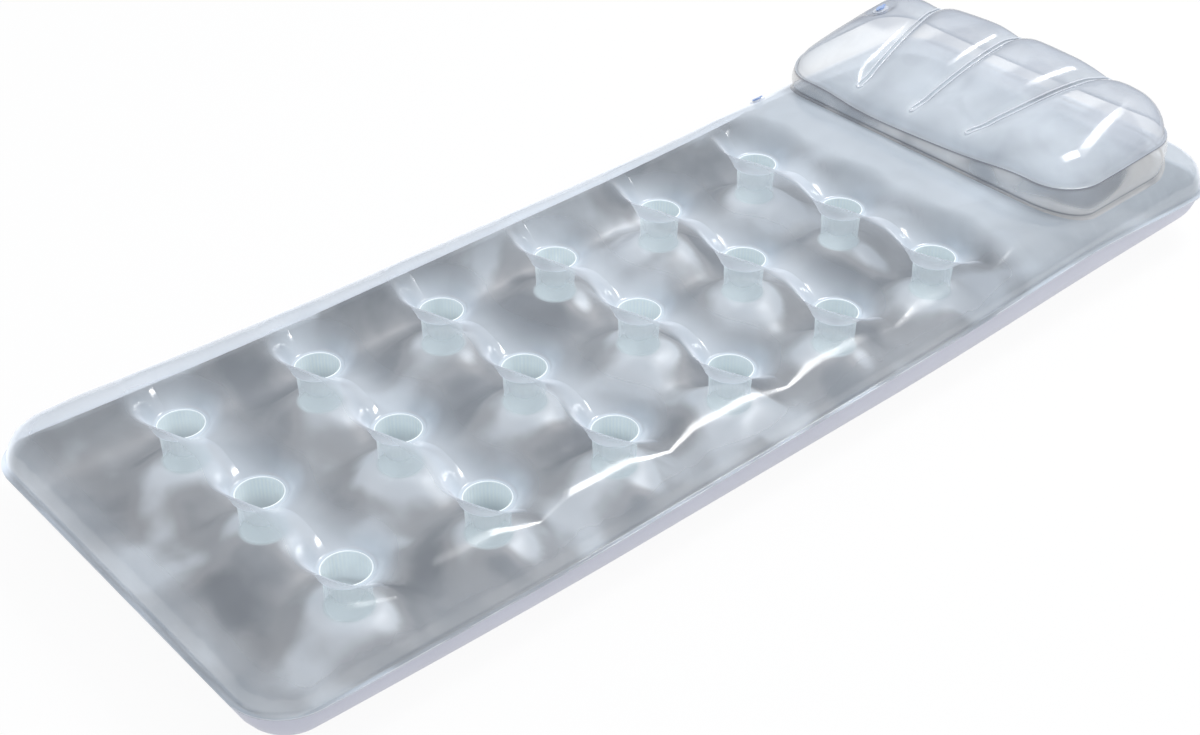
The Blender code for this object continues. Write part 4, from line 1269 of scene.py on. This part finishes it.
def studio_room(strength):
    """White to the eye, and lights the mat by a pale room that grows lighter upwards."""
    world = bpy.data.worlds.new("studio_room")
    world.use_nodes = True
    nodes = Nodes(world.node_tree)
    aim = nodes.node("ShaderNodeTexCoord").outputs["Generated"]
    height = nodes.node("ShaderNodeSeparateXYZ", {0: aim}).outputs["Z"]
    levels = ((0.0, 0.55), (0.28, 0.78), (0.58, 0.96), (0.95, 1.0))
    stops = [(place, (0.96 * level, 0.97 * level, level)) for place, level in levels]
    room = nodes.tree.nodes["Background"]
    nodes.feed(room.inputs["Color"], nodes.ramp(height, stops, "LINEAR"))
    nodes.feed(room.inputs["Strength"], strength)
    white = nodes.node("ShaderNodeBackground", {"Color": (1.0, 1.0, 1.0, 1.0), "Strength": 1.0})
    rays = nodes.node("ShaderNodeLightPath").outputs
    seen = nodes.math("MAXIMUM", rays["Is Camera Ray"], rays["Is Transmission Ray"])
    both = nodes.mix_shaders(seen, room.outputs[0], white.outputs[0])
    nodes.feed(nodes.tree.nodes["World Output"].inputs["Surface"], both)
    return world


def add_soft_light(name, place, width, height, power):
    """Rectangular area light that faces the mat."""
    data = bpy.data.lights.new(name, "AREA")
    data.shape = "RECTANGLE"
    data.size = width
    data.size_y = height
    data.energy = power
    lamp = bpy.data.objects.new(name, data)
    bpy.context.scene.collection.objects.link(lamp)
    lamp.location = place
    aim = Vector(LIGHT_TARGET) - Vector(place)
    lamp.rotation_euler = aim.to_track_quat("-Z", "Y").to_euler()
    return lamp


def studio_camera(stage):
    """Camera at the photo's place, turned by azimuth, elevation and roll."""
    view = bpy.data.cameras.new("studio_camera")
    view.sensor_fit = "HORIZONTAL"
    view.angle = stage.field_of_view
    camera = bpy.data.objects.new("studio_camera", view)
    bpy.context.scene.collection.objects.link(camera)
    az, el = stage.azimuth, stage.elevation
    ahead = Vector((-math.sin(az) * math.cos(el), math.cos(az) * math.cos(el), -math.sin(el)))
    right = Vector((math.cos(az), math.sin(az), 0))
    up = right.cross(ahead)
    turned = right * math.cos(stage.roll) + up * math.sin(stage.roll)
    raised = up * math.cos(stage.roll) - right * math.sin(stage.roll)
    matrix = Matrix((turned, raised, -ahead)).transposed().to_4x4()
    matrix.translation = CAMERA_PLACE
    camera.matrix_world = matrix
    return camera


class LOUNGE_PT_panel(bpy.types.Panel):
    """Buttons that build the mat piece by piece."""

    bl_label = "Lounge mat"
    bl_idname = "LOUNGE_PT_panel"
    bl_space_type = "VIEW_3D"
    bl_region_type = "UI"
    bl_category = "Lounge"

    def draw(self, context):
        for operator in OPERATORS:
            self.layout.operator(operator.bl_idname)


SETTINGS = (
    (FilmShape, "lounge_film"), (PocketShape, "lounge_pocket"), (PillowShape, "lounge_pillow"),
    (FilmColours, "lounge_colours"), (StageLight, "lounge_stage"),
)
OPERATORS = (
    LOUNGE_OT_stage, LOUNGE_OT_bottom_film, LOUNGE_OT_top_film, LOUNGE_OT_seam,
    LOUNGE_OT_pockets, LOUNGE_OT_pillow, LOUNGE_OT_valves,
)


def register():
    for group, name in SETTINGS:
        bpy.utils.register_class(group)
        setattr(bpy.types.Scene, name, bpy.props.PointerProperty(type=group))
    for item in OPERATORS + (LOUNGE_PT_panel,):
        bpy.utils.register_class(item)


def unregister():
    for item in (LOUNGE_PT_panel,) + OPERATORS[::-1]:
        bpy.utils.unregister_class(item)
    for group, name in SETTINGS[::-1]:
        delattr(bpy.types.Scene, name)
        bpy.utils.unregister_class(group)


def main():
    register()
    for operator in OPERATORS:
        family, call = operator.bl_idname.split(".")
        getattr(getattr(bpy.ops, family), call)()


if __name__ == "__main__":
    main()
